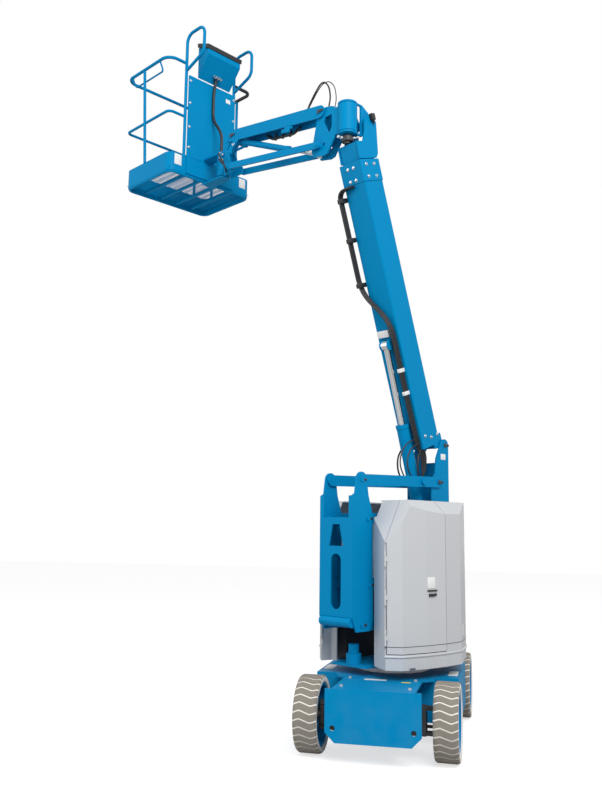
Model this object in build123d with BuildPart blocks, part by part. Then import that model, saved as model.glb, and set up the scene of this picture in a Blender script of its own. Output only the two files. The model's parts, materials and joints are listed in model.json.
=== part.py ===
from build123d import *
from math import atan2, cos, degrees, hypot, radians, sin
import os

# Articulating boom lift. Millimetres, +Z up, ground at Z = 0.
# The chassis drives towards -Y. Each assembly is modelled in its own frame, with x forward,
# y to the left and z up, and is set in place by the chain of places below.

# ---------------------------------------------------------------- stored pose, degrees
swing_angle = -31.5          # turntable from straight ahead, seen from above
riser_angle = 1.5            # lower riser arm above level
boom_angle = 70.6            # main boom above level
jib_swing_angle = -90.0      # jib from the boom's heading
jib_angle = 8.5              # jib above level
platform_angle = 0.0         # platform from square to the jib

# ---------------------------------------------------------------- running gear
wheel_base = 1600
wheel_track = 1010
tyre_diameter = 560
tyre_width = 180
rim_diameter = 452
rim_width = 160
disc_offset = 12             # wheel disc from the tyre's middle, outboard
disc_thickness = 16
spigot_radius = 28
running_clearance = 0.5      # pins and spindles in their bores
moving_gap = 5               # between plates that pass each other
king_pin_y = 425
king_pin_radius = 16
yoke_radius = 30
steering_arm_length = 120
steering_arm_width = 38
tie_rod_height = 214

# ---------------------------------------------------------------- chassis
frame_length = 2190
deck_height = 520
belly_height = 180
front_beam_width = 430       # between the steered wheels
rear_beam_width = 660        # between the driven wheels
body_width = 1120            # between the front and the rear wheels
body_front = 400             # front end of the wide body
body_rear = -490
bumper_width = 690
bumper_thickness = 14
bumper_low = 150
bumper_corner = 70
tie_down = (290, 250)        # tie-down holes, across and up
tie_down_radius = 20
slew_radius = 300
slew_ring_height = 55

# ---------------------------------------------------------------- lateral layers, from the middle
boom_width = 240
boom_depth = 250
upright_plate = 12
arm_plate = 14
riser_plate = 15
upright_inner = boom_width / 2 + moving_gap
arm_inner = upright_inner + upright_plate + moving_gap
riser_inner = arm_inner + arm_plate + moving_gap
riser_outer = riser_inner + riser_plate

# ---------------------------------------------------------------- turntable and riser
base_height = deck_height + slew_ring_height + moving_gap
base_thickness = 20
floor_height = base_height + base_thickness
base_radius = 470
arm_length = 1050            # pin to pin, lower and upper arms alike
lower_pin_x = 600            # lower arm's front pin when the arm is level
lower_pivot_x = lower_pin_x - arm_length
lower_pivot_z = 887
lower_link_offset = (-90, 300)    # lower link's pins from the lower arm's pins
ear_height = 1130            # upper arm's pin above the lower arm's pin on the mid riser
upper_link_offset = (-74, -306)   # upper link's pins from the upper arm's pins
arm_depth = 90
link_depth = 84
riser_pin_radius = 20
riser_cylinder_foot = (845, 100)   # on the lower arm, from its rear pin
riser_cylinder_head = (900, -80)  # on the upper link, from its rear pin

# ---------------------------------------------------------------- upright and main boom
boom_pivot = (-120, 338)     # from the upper arm's pin on the upright
lift_foot = (78, -270)       # lift cylinder's foot pin, from the same pin
boom_pin_radius = 24
boom_tube_start = 40
boom_tube_end = 2600
boom_top = -34               # tube's top face from the pivot, across the boom
boom_wall = 10
collar_length = 185          # band round the outer tube's end
boom_stroke = 1200
inner_width = 200
inner_depth = 206
inner_tail = 1200
inner_end = boom_tube_end + 160
lift_head = (1000, -335)     # lift cylinder's head pin, along and across the boom
level_pin = (inner_end + 170, 14)    # level bracket's pin, along and across the boom
level_pin_radius = 18
cheek_thickness = 12

# ---------------------------------------------------------------- jib
swivel_reach = 205           # level pin to the jib's swivel axis
swivel_radius = 85
swivel_top = 125             # of the upper disc, from the level pin
swivel_low = -165
swivel_disc = 16
swivel_shaft = 30
jib_length = 1220
jib_pin = (270, 122)         # jib arm's pin from the swivel axis, at the level pin's height
jib_link_offset = (5, -322)  # lower link's pins from the arm's pins
jib_foot = (340, -235)       # jib cylinder's rod pin on the base
jib_head = (1150, -45)       # jib cylinder's barrel pin on the arm
jib_arm_width = 150
jib_arm_depth = 115
jib_pin_radius = 18
spine_inner = 40
spine_plate = 15

# ---------------------------------------------------------------- platform
rotator_reach = 200          # jib's end pin to the platform's turning axis
platform_reach = 270         # turning axis to the platform's rear face
platform_length = 1060
platform_depth = 775
platform_shift = -57         # platform's middle from the jib's middle
platform_drop = 330          # jib's end pin to the platform's underside
rail_height = 1210
slot_pitch = 21              # grating
slot_width = 11
slot_count = 48
rail_radius = 16


def placed(x, z, pitch=0.0, y=0.0, turn=0.0):
    """A frame at (x, y, z), pitched up by `pitch` and turned by `turn` degrees."""
    return Location((x, y, z), (0, -pitch, turn))


def reach(start, length, pitch):
    """The point at `length` from `start` in a side view, `pitch` degrees above level."""
    return (start[0] + length * cos(radians(pitch)), start[1] + length * sin(radians(pitch)))


def turned(point, pitch):
    """A side-view point turned up by `pitch` degrees about the origin."""
    c, s = cos(radians(pitch)), sin(radians(pitch))
    return (point[0] * c - point[1] * s, point[0] * s + point[1] * c)


def plus(first, second):
    return (first[0] + second[0], first[1] + second[1])


# ---------------------------------------------------------------- places of the assemblies
lower_pivot = (lower_pivot_x, lower_pivot_z)
lower_front = reach(lower_pivot, arm_length, riser_angle)
ear_pin = plus(lower_front, (0, ear_height))
upper_rear = reach(ear_pin, -arm_length, -riser_angle)
boom_foot = plus(upper_rear, boom_pivot)
level_point = plus(boom_foot, turned(level_pin, boom_angle))

chassis_place = Location((0, 0, 0), (0, 0, -90))
turntable_place = chassis_place * Location((0, 0, 0), (0, 0, swing_angle))
lower_arm_place = turntable_place * placed(*lower_pivot, riser_angle)
lower_link_place = turntable_place * placed(*plus(lower_pivot, lower_link_offset), riser_angle)
mid_riser_place = turntable_place * placed(*lower_front)
upper_arm_place = turntable_place * placed(*upper_rear, -riser_angle)
upper_link_place = turntable_place * placed(*plus(upper_rear, upper_link_offset), -riser_angle)
upright_place = turntable_place * placed(*upper_rear)
boom_place = turntable_place * placed(*boom_foot, boom_angle)
level_place = turntable_place * placed(*level_point)
jib_base_place = level_place * placed(swivel_reach, 0, turn=jib_swing_angle)
jib_arm_place = jib_base_place * placed(*jib_pin, jib_angle)
jib_link_place = jib_base_place * placed(*plus(jib_pin, jib_link_offset), jib_angle)
jib_end = reach(jib_pin, jib_length, jib_angle)
support_place = jib_base_place * placed(*jib_end)
platform_place = support_place * placed(rotator_reach, -platform_drop, turn=platform_angle)

axle_height = tyre_diameter / 2
hub_y = wheel_track / 2
front_x = wheel_base / 2


pieces = {}


def save(piece, name, place):
    """Keep a finished piece, set in its place."""
    pieces[name] = piece.moved(place)


def bar(length, depth, inner, thickness, bore):
    """A flat bar with rounded, bored ends, standing on its edge beside the middle plane."""
    with BuildPart() as made:
        with BuildSketch(Plane.XZ.offset(-inner)):
            with Locations((length / 2, 0)):
                SlotCenterToCenter(length, depth)
            with Locations((0, 0), (length, 0)):
                Circle(bore, mode=Mode.SUBTRACT)
        extrude(amount=-thickness)
    return made.part


def cross_rod(points, radius, near, far):
    """Round rods across the machine at side-view points, from y = near to y = far."""
    with BuildPart() as made:
        with BuildSketch(Plane.XZ.offset(-near)):
            with Locations(*points):
                Circle(radius)
        extrude(amount=near - far)
    return made.part


def cylinder_barrel(length, radius, eye_radius, eye_width, pin_radius):
    """A hydraulic barrel along x from its foot pin at the origin, open at its gland."""
    with BuildPart() as made:
        with BuildSketch(Plane.YZ.offset(eye_radius * 1.25)):
            Circle(radius)
        extrude(amount=length - eye_radius * 1.25 - 30)
        with BuildSketch(Plane.YZ.offset(length - 34)):
            Circle(radius + 4)
        extrude(amount=34)
        with BuildSketch(Plane.YZ):
            Rectangle(eye_width, eye_radius * 1.5)
        extrude(amount=eye_radius * 1.3)
        with BuildSketch(Plane.XZ):
            Circle(eye_radius)
        extrude(amount=eye_width / 2, both=True)
        with BuildSketch(Plane.XZ):
            Circle(pin_radius + running_clearance)
        extrude(amount=radius * 2, both=True, mode=Mode.SUBTRACT)
        with BuildSketch(Plane.YZ.offset(length)):
            Circle(radius * 0.56 + 1)
        extrude(amount=-(length - eye_radius * 1.8), mode=Mode.SUBTRACT)
    return made.part


def cylinder_rod(length, inside, radius, eye_radius, eye_width):
    """A chromed rod along x that ends in an eye at x = length and starts at x = inside."""
    with BuildPart() as made:
        with BuildSketch(Plane.YZ.offset(inside)):
            Circle(radius)
        extrude(amount=length - inside)
        with BuildSketch(Plane.XZ.offset(-eye_width / 2)):
            with Locations((length, 0)):
                Circle(eye_radius)
        extrude(amount=eye_width)
    return made.part


def tube(points, radius, bend):
    """A round rail bent along a run of points."""
    with BuildPart() as made:
        with BuildLine() as path:
            FilletPolyline(*points, radius=bend)
        with BuildSketch(Plane(origin=path.line @ 0, z_dir=path.line % 0)):
            Circle(radius)
        sweep()
    return made.part


def hose(points, radius, bends):
    """A hose with its own radius at each bend; the smallest is printed with its thickness."""
    print("hose", 2 * radius, "thick, bent to", min(bends))
    return tube(points, radius, bends)


os.makedirs("parts", exist_ok=True)

# ================================================================ wheels
# Seen from above in the wheel's own frame: the axle lies along y, outboard is +y.

with BuildPart() as tyre:
    with BuildSketch(Plane.XY) as tyre_section:
        with Locations(((tyre_diameter / 2 + rim_diameter / 2) / 2, 0)):
            Rectangle(tyre_diameter / 2 - rim_diameter / 2, tyre_width)
        fillet(tyre_section.vertices().group_by(Axis.X)[-1], 22)
        fillet(tyre_section.vertices().group_by(Axis.X)[0], 6)
    revolve(axis=Axis.Y)

with BuildPart() as rim:
    with BuildSketch(Plane.XY):
        with Locations((rim_diameter / 2 - 9, 0)):
            Rectangle(17, rim_width)
        with Locations(((rim_diameter / 2 - 9) / 2, disc_offset + disc_thickness / 2)):
            Rectangle(rim_diameter / 2 - 9, disc_thickness)
    revolve(axis=Axis.Y)
    with BuildSketch(Plane.XZ.offset(-disc_offset - disc_thickness)):
        Circle(62)
    extrude(amount=-34)
    with BuildSketch(Plane.XZ.offset(-disc_offset)):
        Circle(spigot_radius + running_clearance)
    extrude(amount=-disc_thickness - 20, mode=Mode.SUBTRACT)
    with BuildSketch(Plane.XZ.offset(-disc_offset - disc_thickness)):
        with PolarLocations(92, 9):
            RegularPolygon(12, 6)
    extrude(amount=-14)
    with BuildSketch(Plane.XZ.offset(-disc_offset)):
        with PolarLocations(155, 6):
            Circle(22)
    extrude(amount=-disc_thickness, mode=Mode.SUBTRACT)

for side, sign in (("left", 1), ("right", -1)):
    for end, x in (("front", front_x), ("rear", -front_x)):
        wheel_place = chassis_place * Location((x, sign * hub_y, axle_height), (0, 0, 0 if sign > 0 else 180))
        save(tyre.part, f"tyre_{end}_{side}", wheel_place)
        save(rim.part, f"rim_{end}_{side}", wheel_place)

# ================================================================ chassis
# Wheel hubs, from the wheel's middle plane: the spindle's flange stops short of the disc.
hub_face = hub_y + disc_offset - 3
hub_radius = 72
hub_depth = 45

with BuildPart() as chassis_frame:
    with BuildSketch(Plane.XY.offset(belly_height)):
        with BuildLine():
            Polyline(
                (frame_length / 2, -front_beam_width / 2),
                (body_front, -front_beam_width / 2),
                (body_front, -body_width / 2),
                (body_rear, -body_width / 2),
                (body_rear, -rear_beam_width / 2),
                (-frame_length / 2, -rear_beam_width / 2),
                (-frame_length / 2, rear_beam_width / 2),
                (body_rear, rear_beam_width / 2),
                (body_rear, body_width / 2),
                (body_front, body_width / 2),
                (body_front, front_beam_width / 2),
                (frame_length / 2, front_beam_width / 2),
                close=True,
            )
        make_face()
    extrude(amount=deck_height - belly_height)
    with BuildSketch(Plane.XY.offset(deck_height)):
        with BuildLine():
            Polyline((body_front, -380), (500, -380), (560, -300), (frame_length / 2, -300),
                     (frame_length / 2, 300), (560, 300), (500, 380), (body_front, 380), close=True)
        make_face()
    extrude(amount=-16)
    for bumper_x in (frame_length / 2, -frame_length / 2 - bumper_thickness):
        with BuildSketch(Plane.YZ.offset(bumper_x)):
            with BuildLine():
                Polyline(
                    (-bumper_width / 2, deck_height),
                    (-bumper_width / 2, bumper_low + bumper_corner),
                    (-bumper_width / 2 + bumper_corner, bumper_low),
                    (bumper_width / 2 - bumper_corner, bumper_low),
                    (bumper_width / 2, bumper_low + bumper_corner),
                    (bumper_width / 2, deck_height),
                    close=True,
                )
            make_face()
        extrude(amount=bumper_thickness)
    with BuildSketch(Plane.YZ.offset(frame_length / 2)):
        with Locations((tie_down[0], tie_down[1]), (-tie_down[0], tie_down[1])):
            Circle(tie_down_radius)
    extrude(amount=bumper_thickness, mode=Mode.SUBTRACT)
    # tunnel for the tie rod
    with Locations((front_x - steering_arm_length + 15, 0, tie_rod_height)):
        Box(120, front_beam_width, 64, mode=Mode.SUBTRACT)
save(chassis_frame.part, "chassis_frame", chassis_place)

yoke_gap = 150
yoke_plate = 26
with BuildPart() as front_axle:
    beam_end = king_pin_y - 75
    with Locations((front_x, (front_beam_width / 2 + beam_end) / 2, axle_height)):
        Box(110, beam_end - front_beam_width / 2, yoke_gap + 2 * yoke_plate)
    for z in (axle_height + yoke_gap / 2, axle_height - yoke_gap / 2 - yoke_plate):
        with BuildSketch(Plane.XY.offset(z)):
            with Locations((front_x, king_pin_y)):
                Circle(yoke_radius)
            with Locations((front_x, (beam_end + king_pin_y) / 2)):
                Rectangle(2 * yoke_radius, king_pin_y - beam_end)
        extrude(amount=yoke_plate)
    with BuildSketch(Plane.XY.offset(axle_height - yoke_gap / 2)):
        with Locations((front_x, king_pin_y)):
            Circle(king_pin_radius)
    extrude(amount=yoke_gap)
    mirror(about=Plane.XZ)
save(front_axle.part, "front_axle", chassis_place)

with BuildPart() as rear_axle:
    with BuildSketch(Plane.XZ.offset(-rear_beam_width / 2)):
        with Locations((-front_x, axle_height)):
            Circle(82)
    extrude(amount=rear_beam_width / 2 - hub_face)
    with BuildSketch(Plane.XZ.offset(-hub_face)):
        with Locations((-front_x, axle_height)):
            Circle(spigot_radius)
    extrude(amount=-disc_thickness - 14)
    mirror(about=Plane.XZ)
save(rear_axle.part, "rear_axle", chassis_place)

with BuildPart() as slew_ring:
    with BuildSketch(Plane.XY.offset(deck_height)):
        Circle(slew_radius)
    extrude(amount=slew_ring_height)
save(slew_ring.part, "slew_ring", chassis_place)

with BuildPart() as knuckle:
    # in the king pin's frame at axle height
    with BuildSketch(Plane.XY.offset(-yoke_gap / 2 + moving_gap)):
        Circle(yoke_radius)
    extrude(amount=yoke_gap - 2 * moving_gap)
    with BuildSketch(Plane.XZ):
        Circle(28)
    extrude(amount=-(hub_face - king_pin_y))
    with BuildSketch(Plane.XZ.offset(-(hub_face - king_pin_y))):
        Circle(hub_radius)
    extrude(amount=hub_depth)
    with BuildSketch(Plane.XZ.offset(-(hub_face - king_pin_y))):
        Circle(spigot_radius)
    extrude(amount=-disc_thickness - 14)
    with BuildSketch(Plane.XY.offset(tie_rod_height - axle_height + 14)):
        with Locations((-steering_arm_length / 2, 0)):
            SlotCenterToCenter(steering_arm_length, steering_arm_width)
    extrude(amount=18)
    with BuildSketch(Plane.XY.offset(tie_rod_height - axle_height - 14)):
        with Locations((-steering_arm_length, 0)):
            Circle(9)
    extrude(amount=28)
    with BuildSketch(Plane.XY.offset(-yoke_gap)):
        Circle(king_pin_radius + running_clearance)
    extrude(amount=2 * yoke_gap, mode=Mode.SUBTRACT)
knuckle_right = mirror(knuckle.part, about=Plane.XZ)
save(knuckle.part, "knuckle_left", chassis_place * Location((front_x, king_pin_y, axle_height)))
save(knuckle_right, "knuckle_right", chassis_place * Location((front_x, -king_pin_y, axle_height)))

with BuildPart() as tie_rod:
    rod_x = front_x - steering_arm_length
    with BuildSketch(Plane.XZ.offset(-king_pin_y)):
        with Locations((rod_x, tie_rod_height)):
            Circle(12)
    extrude(amount=2 * king_pin_y)
    with BuildSketch(Plane.XY.offset(tie_rod_height - 13)):
        with Locations((rod_x, king_pin_y), (rod_x, -king_pin_y)):
            Circle(19)
    extrude(amount=26)
    with BuildSketch(Plane.XY.offset(tie_rod_height - 30)):
        with Locations((rod_x, king_pin_y), (rod_x, -king_pin_y)):
            Circle(9 + running_clearance)
    extrude(amount=60, mode=Mode.SUBTRACT)
save(tie_rod.part, "tie_rod", chassis_place)

# ================================================================ turntable
post_rear = lower_pivot_x + lower_link_offset[0] - 45
with BuildPart() as turntable_frame:
    with BuildSketch(Plane.XY.offset(base_height)):
        Circle(base_radius)
        with Locations((post_rear / 2, 0)):
            Rectangle(-post_rear, 2 * riser_outer)
        with Locations((base_radius / 2 + 60, 0)):
            Rectangle(base_radius + 40, 2 * riser_outer)
    extrude(amount=base_thickness)
    with BuildSketch(Plane.XZ.offset(-riser_inner)):
        with BuildLine():
            Polyline(
                (post_rear, floor_height),
                (lower_pivot_x + 210, floor_height),
                (lower_pivot_x + 80, lower_pivot_z + 60),
                (lower_pivot_x - 40, lower_pivot_z + 350),
                (post_rear, lower_pivot_z + 350),
                close=True,
            )
        make_face()
    extrude(amount=-riser_plate)
    mirror(about=Plane.XZ)
    with Locations((post_rear + 6, 0, floor_height + 75)):
        Box(12, 2 * riser_inner, 150)
    add(cross_rod([lower_pivot, plus(lower_pivot, lower_link_offset)], riser_pin_radius,
                  arm_inner - 4, riser_outer + 8))
    add(cross_rod([lower_pivot, plus(lower_pivot, lower_link_offset)], riser_pin_radius,
                  -arm_inner + 4, -riser_outer - 8))
save(turntable_frame.part, "turntable_frame", turntable_place)

block_inner = riser_outer + 20
with BuildPart() as battery_pack:
    with Locations((170, (block_inner + 470) / 2, floor_height + 300)):
        Box(400, 470 - block_inner, 600)
save(battery_pack.part, "battery_pack", turntable_place)

with BuildPart() as power_unit:
    with Locations((170, -(block_inner + 340) / 2, floor_height + 275)):
        Box(400, 340 - block_inner, 550)
save(power_unit.part, "power_unit", turntable_place)

swing_drive_place = (495, 0)
with BuildPart() as swing_drive:
    with BuildSketch(Plane.XY.offset(floor_height)):
        with Locations(swing_drive_place):
            Circle(60)
    extrude(amount=80)
    with BuildSketch(Plane.XY.offset(floor_height + 80)):
        with Locations(swing_drive_place):
            Circle(42)
    extrude(amount=70)
save(swing_drive.part, "swing_drive", turntable_place)

# Covers: a moulded shell with faceted sides; the door is split off along a seam.
# The right side is drawn in towards the riser by `right_shift`.
cover_wall = 10
cover_top = 1885
cover_shoulder = 1550
cover_inner = riser_outer + 24
door_seam_x = 60
door_seam_z = floor_height + 120
seam_gap = 6
hinge_point = (585, 400)
right_shift = 130
cover_corners = ((500, 500), (270, 560), (60, 585), (-150, 580), (-380, 460), (-500, 380))
hinge_levels = (door_seam_z + 60, 1080, cover_shoulder - 180)
hinge_height = 38
hinge_radius = 9
hinge_pin_radius = 5


def cover_solid(inset, shift):
    """The cover's outer form, drawn in by `inset` on every outer face."""
    outline = [(x, y - shift) for x, y in (hinge_point, *cover_corners)]
    with BuildPart() as made:
        with BuildSketch(Plane.XY.offset(floor_height)):
            with BuildLine():
                Polyline((480, cover_inner), (500, cover_inner + 40), *outline, (-555, cover_inner), close=True)
            make_face()
            offset(amount=-inset, kind=Kind.INTERSECTION)
        extrude(amount=cover_top - inset - floor_height)
        # front of the top slopes back, and its outer edge is bevelled
        with BuildSketch(Plane.XZ):
            with BuildLine():
                Polyline((700, cover_shoulder - inset), (585 - inset, cover_shoulder - inset * 1.5),
                         (395 - inset, cover_top), (395, cover_top + 10), (700, cover_top + 10), close=True)
            make_face()
        extrude(amount=-1000, mode=Mode.SUBTRACT)
        bevel = 470 - inset - shift
        with BuildSketch(Plane.YZ.offset(-700)):
            with BuildLine():
                Polyline((bevel, cover_top), (bevel + 130, cover_top - 120 - inset), (700, cover_top - 120 - inset),
                         (700, cover_top + 10), (bevel, cover_top + 10), close=True)
            make_face()
        extrude(amount=1400, mode=Mode.SUBTRACT)
    return made.part


def hinge_leaves(point, turn, levels, bore):
    """Hinge sleeves about the hinge line, each with a leaf reaching `turn` degrees round it."""
    with BuildPart() as made:
        for z in levels:
            with BuildSketch(Plane.XY.offset(z)):
                with Locations(point):
                    Circle(hinge_radius)
                    with Locations(Rotation(0, 0, turn)):
                        with Locations((14, 0)):
                            Rectangle(28, 7)
            extrude(amount=hinge_height)
        with BuildSketch(Plane.XY.offset(door_seam_z)):
            with Locations(point):
                Circle(bore)
        extrude(amount=cover_top, mode=Mode.SUBTRACT)
    return made.part


def cover_pieces(shift):
    """The door, the fixed cover and the weight inside it, for the left side."""
    point = (hinge_point[0], hinge_point[1] - shift)
    outer = cover_solid(0, shift)
    inner = cover_solid(cover_wall, shift)
    with BuildPart() as shell:
        add(outer)
        add(inner, mode=Mode.SUBTRACT)
        # open towards the riser and below
        with Locations((-20, cover_inner, (cover_top + floor_height) / 2 - cover_wall)):
            Box(980, 4 * cover_wall, cover_top - floor_height, mode=Mode.SUBTRACT)
        with Locations((0, 380 - shift, floor_height)):
            Box(880, 300, 30, mode=Mode.SUBTRACT)
    with BuildPart() as zone:
        with BuildSketch(Plane.XY.offset(door_seam_z)):
            with BuildLine():
                Polyline((door_seam_x, point[1]), (700, point[1]), (700, 800), (door_seam_x, 800), close=True)
            make_face()
        extrude(amount=cover_top)
    with BuildPart() as hinge_room:
        with BuildSketch(Plane.XY.offset(door_seam_z)):
            with Locations(point):
                Circle(hinge_radius + moving_gap)
        extrude(amount=cover_shoulder - door_seam_z)
    door_levels = [z + hinge_height + 2 for z in hinge_levels]
    cover_levels = [*hinge_levels, *[z + 2 * hinge_height + 4 for z in hinge_levels]]
    with BuildPart() as door:
        add(shell.part)
        add(zone.part, mode=Mode.INTERSECT)
        add(hinge_room.part, mode=Mode.SUBTRACT)
        add(hinge_leaves(point, 130.4, door_levels, hinge_pin_radius + running_clearance))
    with BuildPart() as cover:
        add(shell.part)
        add(zone.part.moved(Location((-seam_gap, 0, -seam_gap))), mode=Mode.SUBTRACT)
        add(zone.part.moved(Location((0, -seam_gap, 0))), mode=Mode.SUBTRACT)
        add(hinge_room.part, mode=Mode.SUBTRACT)
        add(hinge_leaves(point, 240.5 if shift == 0 else 195, cover_levels, hinge_pin_radius - 1))
        for z in hinge_levels:
            with BuildSketch(Plane.XY.offset(z)):
                with Locations(point):
                    Circle(hinge_pin_radius)
            extrude(amount=3 * hinge_height + 4)
    with BuildPart() as weight:
        add(cover_solid(cover_wall + 12, shift))
        with Locations((-350, 380, floor_height + 310)):
            Box(560, 700, 620, mode=Mode.INTERSECT)
    return door.part, cover.part, weight.part


left_door, left_cover, left_weight = cover_pieces(0)
right_door, right_cover, right_weight = [mirror(piece, about=Plane.XZ) for piece in cover_pieces(right_shift)]
with BuildPart() as counterweight:
    add(left_weight)
    add(right_weight)
save(counterweight.part, "counterweight", turntable_place)
save(left_door, "left_door", turntable_place)
save(left_cover, "left_cover", turntable_place)
save(right_door, "right_door", turntable_place)
save(right_cover, "right_cover", turntable_place)

# ================================================================ riser linkage
lower_bar = bar(arm_length, arm_depth, arm_inner, arm_plate, riser_pin_radius + running_clearance)
lug_inner = 35
lug_plate = 12


def lugs(foot, head, radius, pin_radius, down=False):
    """A pair of lugs about a cylinder's pin, with the pin between them."""
    with BuildPart() as made:
        with BuildSketch(Plane.XZ.offset(-lug_inner)):
            with BuildLine():
                Line((foot[0] - radius, foot[1]), (foot[0] + radius, foot[1]))
                Line((foot[0] + radius, foot[1]), (head[0] + radius, head[1]))
                Line((head[0] + radius, head[1]), (head[0] - radius, head[1]))
                Line((head[0] - radius, head[1]), (foot[0] - radius, foot[1]))
            make_face()
            with Locations(head):
                Circle(radius)
        extrude(amount=-lug_plate)
        mirror(about=Plane.XZ)
        with BuildSketch(Plane.XZ):
            with Locations(head):
                Circle(pin_radius)
        extrude(amount=lug_inner + lug_plate, both=True)
    return made.part


def clevis(foot, head, radius):
    """A pair of lugs about a rod's eye; the pin's middle belongs to the rod."""
    with BuildPart() as made:
        with BuildSketch(Plane.XZ.offset(-lug_inner)):
            with BuildLine():
                Polyline((foot[0] - radius, foot[1]), (foot[0] + radius, foot[1]),
                         (head[0] + radius, head[1]), (head[0] - radius, head[1]), close=True)
            make_face()
            with Locations(head):
                Circle(radius)
        extrude(amount=-lug_plate)
        mirror(about=Plane.XZ)
    return made.part


with BuildPart() as lower_arm:
    add(lower_bar)
    mirror(about=Plane.XZ)
    add(cross_rod([(200, 0), (riser_cylinder_foot[0], 0)], 32, -arm_inner, arm_inner))
    add(lugs((riser_cylinder_foot[0], 10), riser_cylinder_foot, 32, 16))
save(lower_arm.part, "lower_arm", lower_arm_place)

with BuildPart() as lower_link:
    add(bar(arm_length, link_depth, arm_inner, arm_plate, riser_pin_radius + running_clearance))
    mirror(about=Plane.XZ)
    add(cross_rod([(420, 0)], 24, -arm_inner, arm_inner))
save(lower_link.part, "lower_link", lower_link_place)

# mid riser, from the lower arm's front pin
riser_front = 112
riser_rear = -132
shelf_z = ear_height - 300
ear_radius = 62
with BuildPart() as mid_riser:
    with BuildSketch(Plane.XZ.offset(-riser_inner)):
        with BuildLine():
            Polyline((60, -50), (-100, -50), (-135, 40), (riser_rear, 270), (-150, 290), (-150, 335),
                     (riser_rear, 355), (riser_rear, shelf_z + 20), (-80, ear_height - 120), (-ear_radius, ear_height),
                     (ear_radius, ear_height), (78, ear_height - 110), (riser_front, ear_height - 130),
                     (riser_front, 60), close=True)
        make_face()
        with Locations((0, ear_height)):
            Circle(ear_radius)
    extrude(amount=-riser_plate)
    with BuildSketch(Plane.XZ.offset(-riser_inner)):
        with Locations((riser_front - 6, (ear_height - 130 + 60) / 2)):
            Rectangle(12, ear_height - 190)
    extrude(amount=26)
    mirror(about=Plane.XZ)
    with BuildSketch(Plane.YZ.offset(riser_front - 12)):
        with Locations((0, (60 + shelf_z) / 2)):
            Rectangle(2 * riser_inner, shelf_z - 60)
        with Locations((0, 330)):
            SlotCenterToCenter(320, 110, rotation=90, mode=Mode.SUBTRACT)
        with Locations((0, 690)):
            Trapezoid(150, 170, 78, mode=Mode.SUBTRACT)
    extrude(amount=12)
    with Locations((40, 0, shelf_z - 6)):
        Box(2 * riser_front - 80, 2 * riser_inner, 12)
    with BuildSketch(Plane.XZ):
        with Locations((riser_front - 16, 22)):
            Circle(38)
    extrude(amount=riser_inner, both=True)
    riser_pins = [(0, 0), lower_link_offset, (0, ear_height), plus((0, ear_height), upper_link_offset)]
    add(cross_rod(riser_pins, riser_pin_radius, arm_inner - 2, riser_outer + 8))
    add(cross_rod(riser_pins, riser_pin_radius, -arm_inner + 2, -riser_outer - 8))
save(mid_riser.part, "mid_riser", mid_riser_place)

with BuildPart() as upper_arm:
    add(bar(arm_length, arm_depth, arm_inner, arm_plate, riser_pin_radius + running_clearance))
    add(cross_rod([(230, 0)], 28, arm_inner + arm_plate, riser_outer))
    mirror(about=Plane.XZ)
save(upper_arm.part, "upper_arm", upper_arm_place)

with BuildPart() as upper_link:
    add(bar(arm_length, link_depth, arm_inner, arm_plate, riser_pin_radius + running_clearance))
    mirror(about=Plane.XZ)
    with Locations((riser_cylinder_head[0], 0, -18)):
        Box(70, 2 * arm_inner, 40)
    add(clevis((riser_cylinder_head[0], -30), riser_cylinder_head, 32))
save(upper_link.part, "upper_link", upper_link_place)

with BuildPart() as upright:
    with BuildSketch(Plane.XZ.offset(-upright_inner)):
        with BuildLine():
            Polyline((-175, boom_pivot[1]), (boom_pivot[0], boom_pivot[1] + 55), (-70, boom_pivot[1] + 30),
                     (10, 210), (24, 80), (62, 30), (75, -60), (75, -370), (-130, -370), (-175, -320), close=True)
        make_face()
        with Locations(boom_pivot):
            Circle(55)
        with Locations(lift_foot):
            Circle(48)
    extrude(amount=-upright_plate)
    mirror(about=Plane.XZ)
    with Locations((-169, 0, -60)):
        Box(12, 2 * upright_inner, 500)
    upright_pins = [(0, 0), upper_link_offset]
    add(cross_rod(upright_pins, riser_pin_radius, upright_inner, arm_inner + arm_plate + 5))
    add(cross_rod(upright_pins, riser_pin_radius, -upright_inner, -arm_inner - arm_plate - 5))
    add(cross_rod([boom_pivot], boom_pin_radius, -upright_inner - upright_plate - 4, upright_inner + upright_plate + 4))
    add(cross_rod([lift_foot], 20, -upright_inner - 1, upright_inner + 1))
save(upright.part, "upright", upright_place)

# riser cylinder between the lower arm and the upper link
riser_foot_point = plus(lower_pivot, turned(riser_cylinder_foot, riser_angle))
riser_head_point = plus(plus(upper_rear, upper_link_offset), turned(riser_cylinder_head, -riser_angle))
riser_run = (riser_head_point[0] - riser_foot_point[0], riser_head_point[1] - riser_foot_point[1])
riser_cylinder_length = hypot(*riser_run)
riser_cylinder_angle = degrees(atan2(riser_run[1], riser_run[0]))
riser_cylinder_place = turntable_place * placed(*riser_foot_point, riser_cylinder_angle)
save(cylinder_barrel(500, 45, 34, 56, 16), "riser_barrel", riser_cylinder_place)
save(cylinder_rod(riser_cylinder_length, 140, 22, 30, 56), "riser_rod", riser_cylinder_place)

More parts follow.
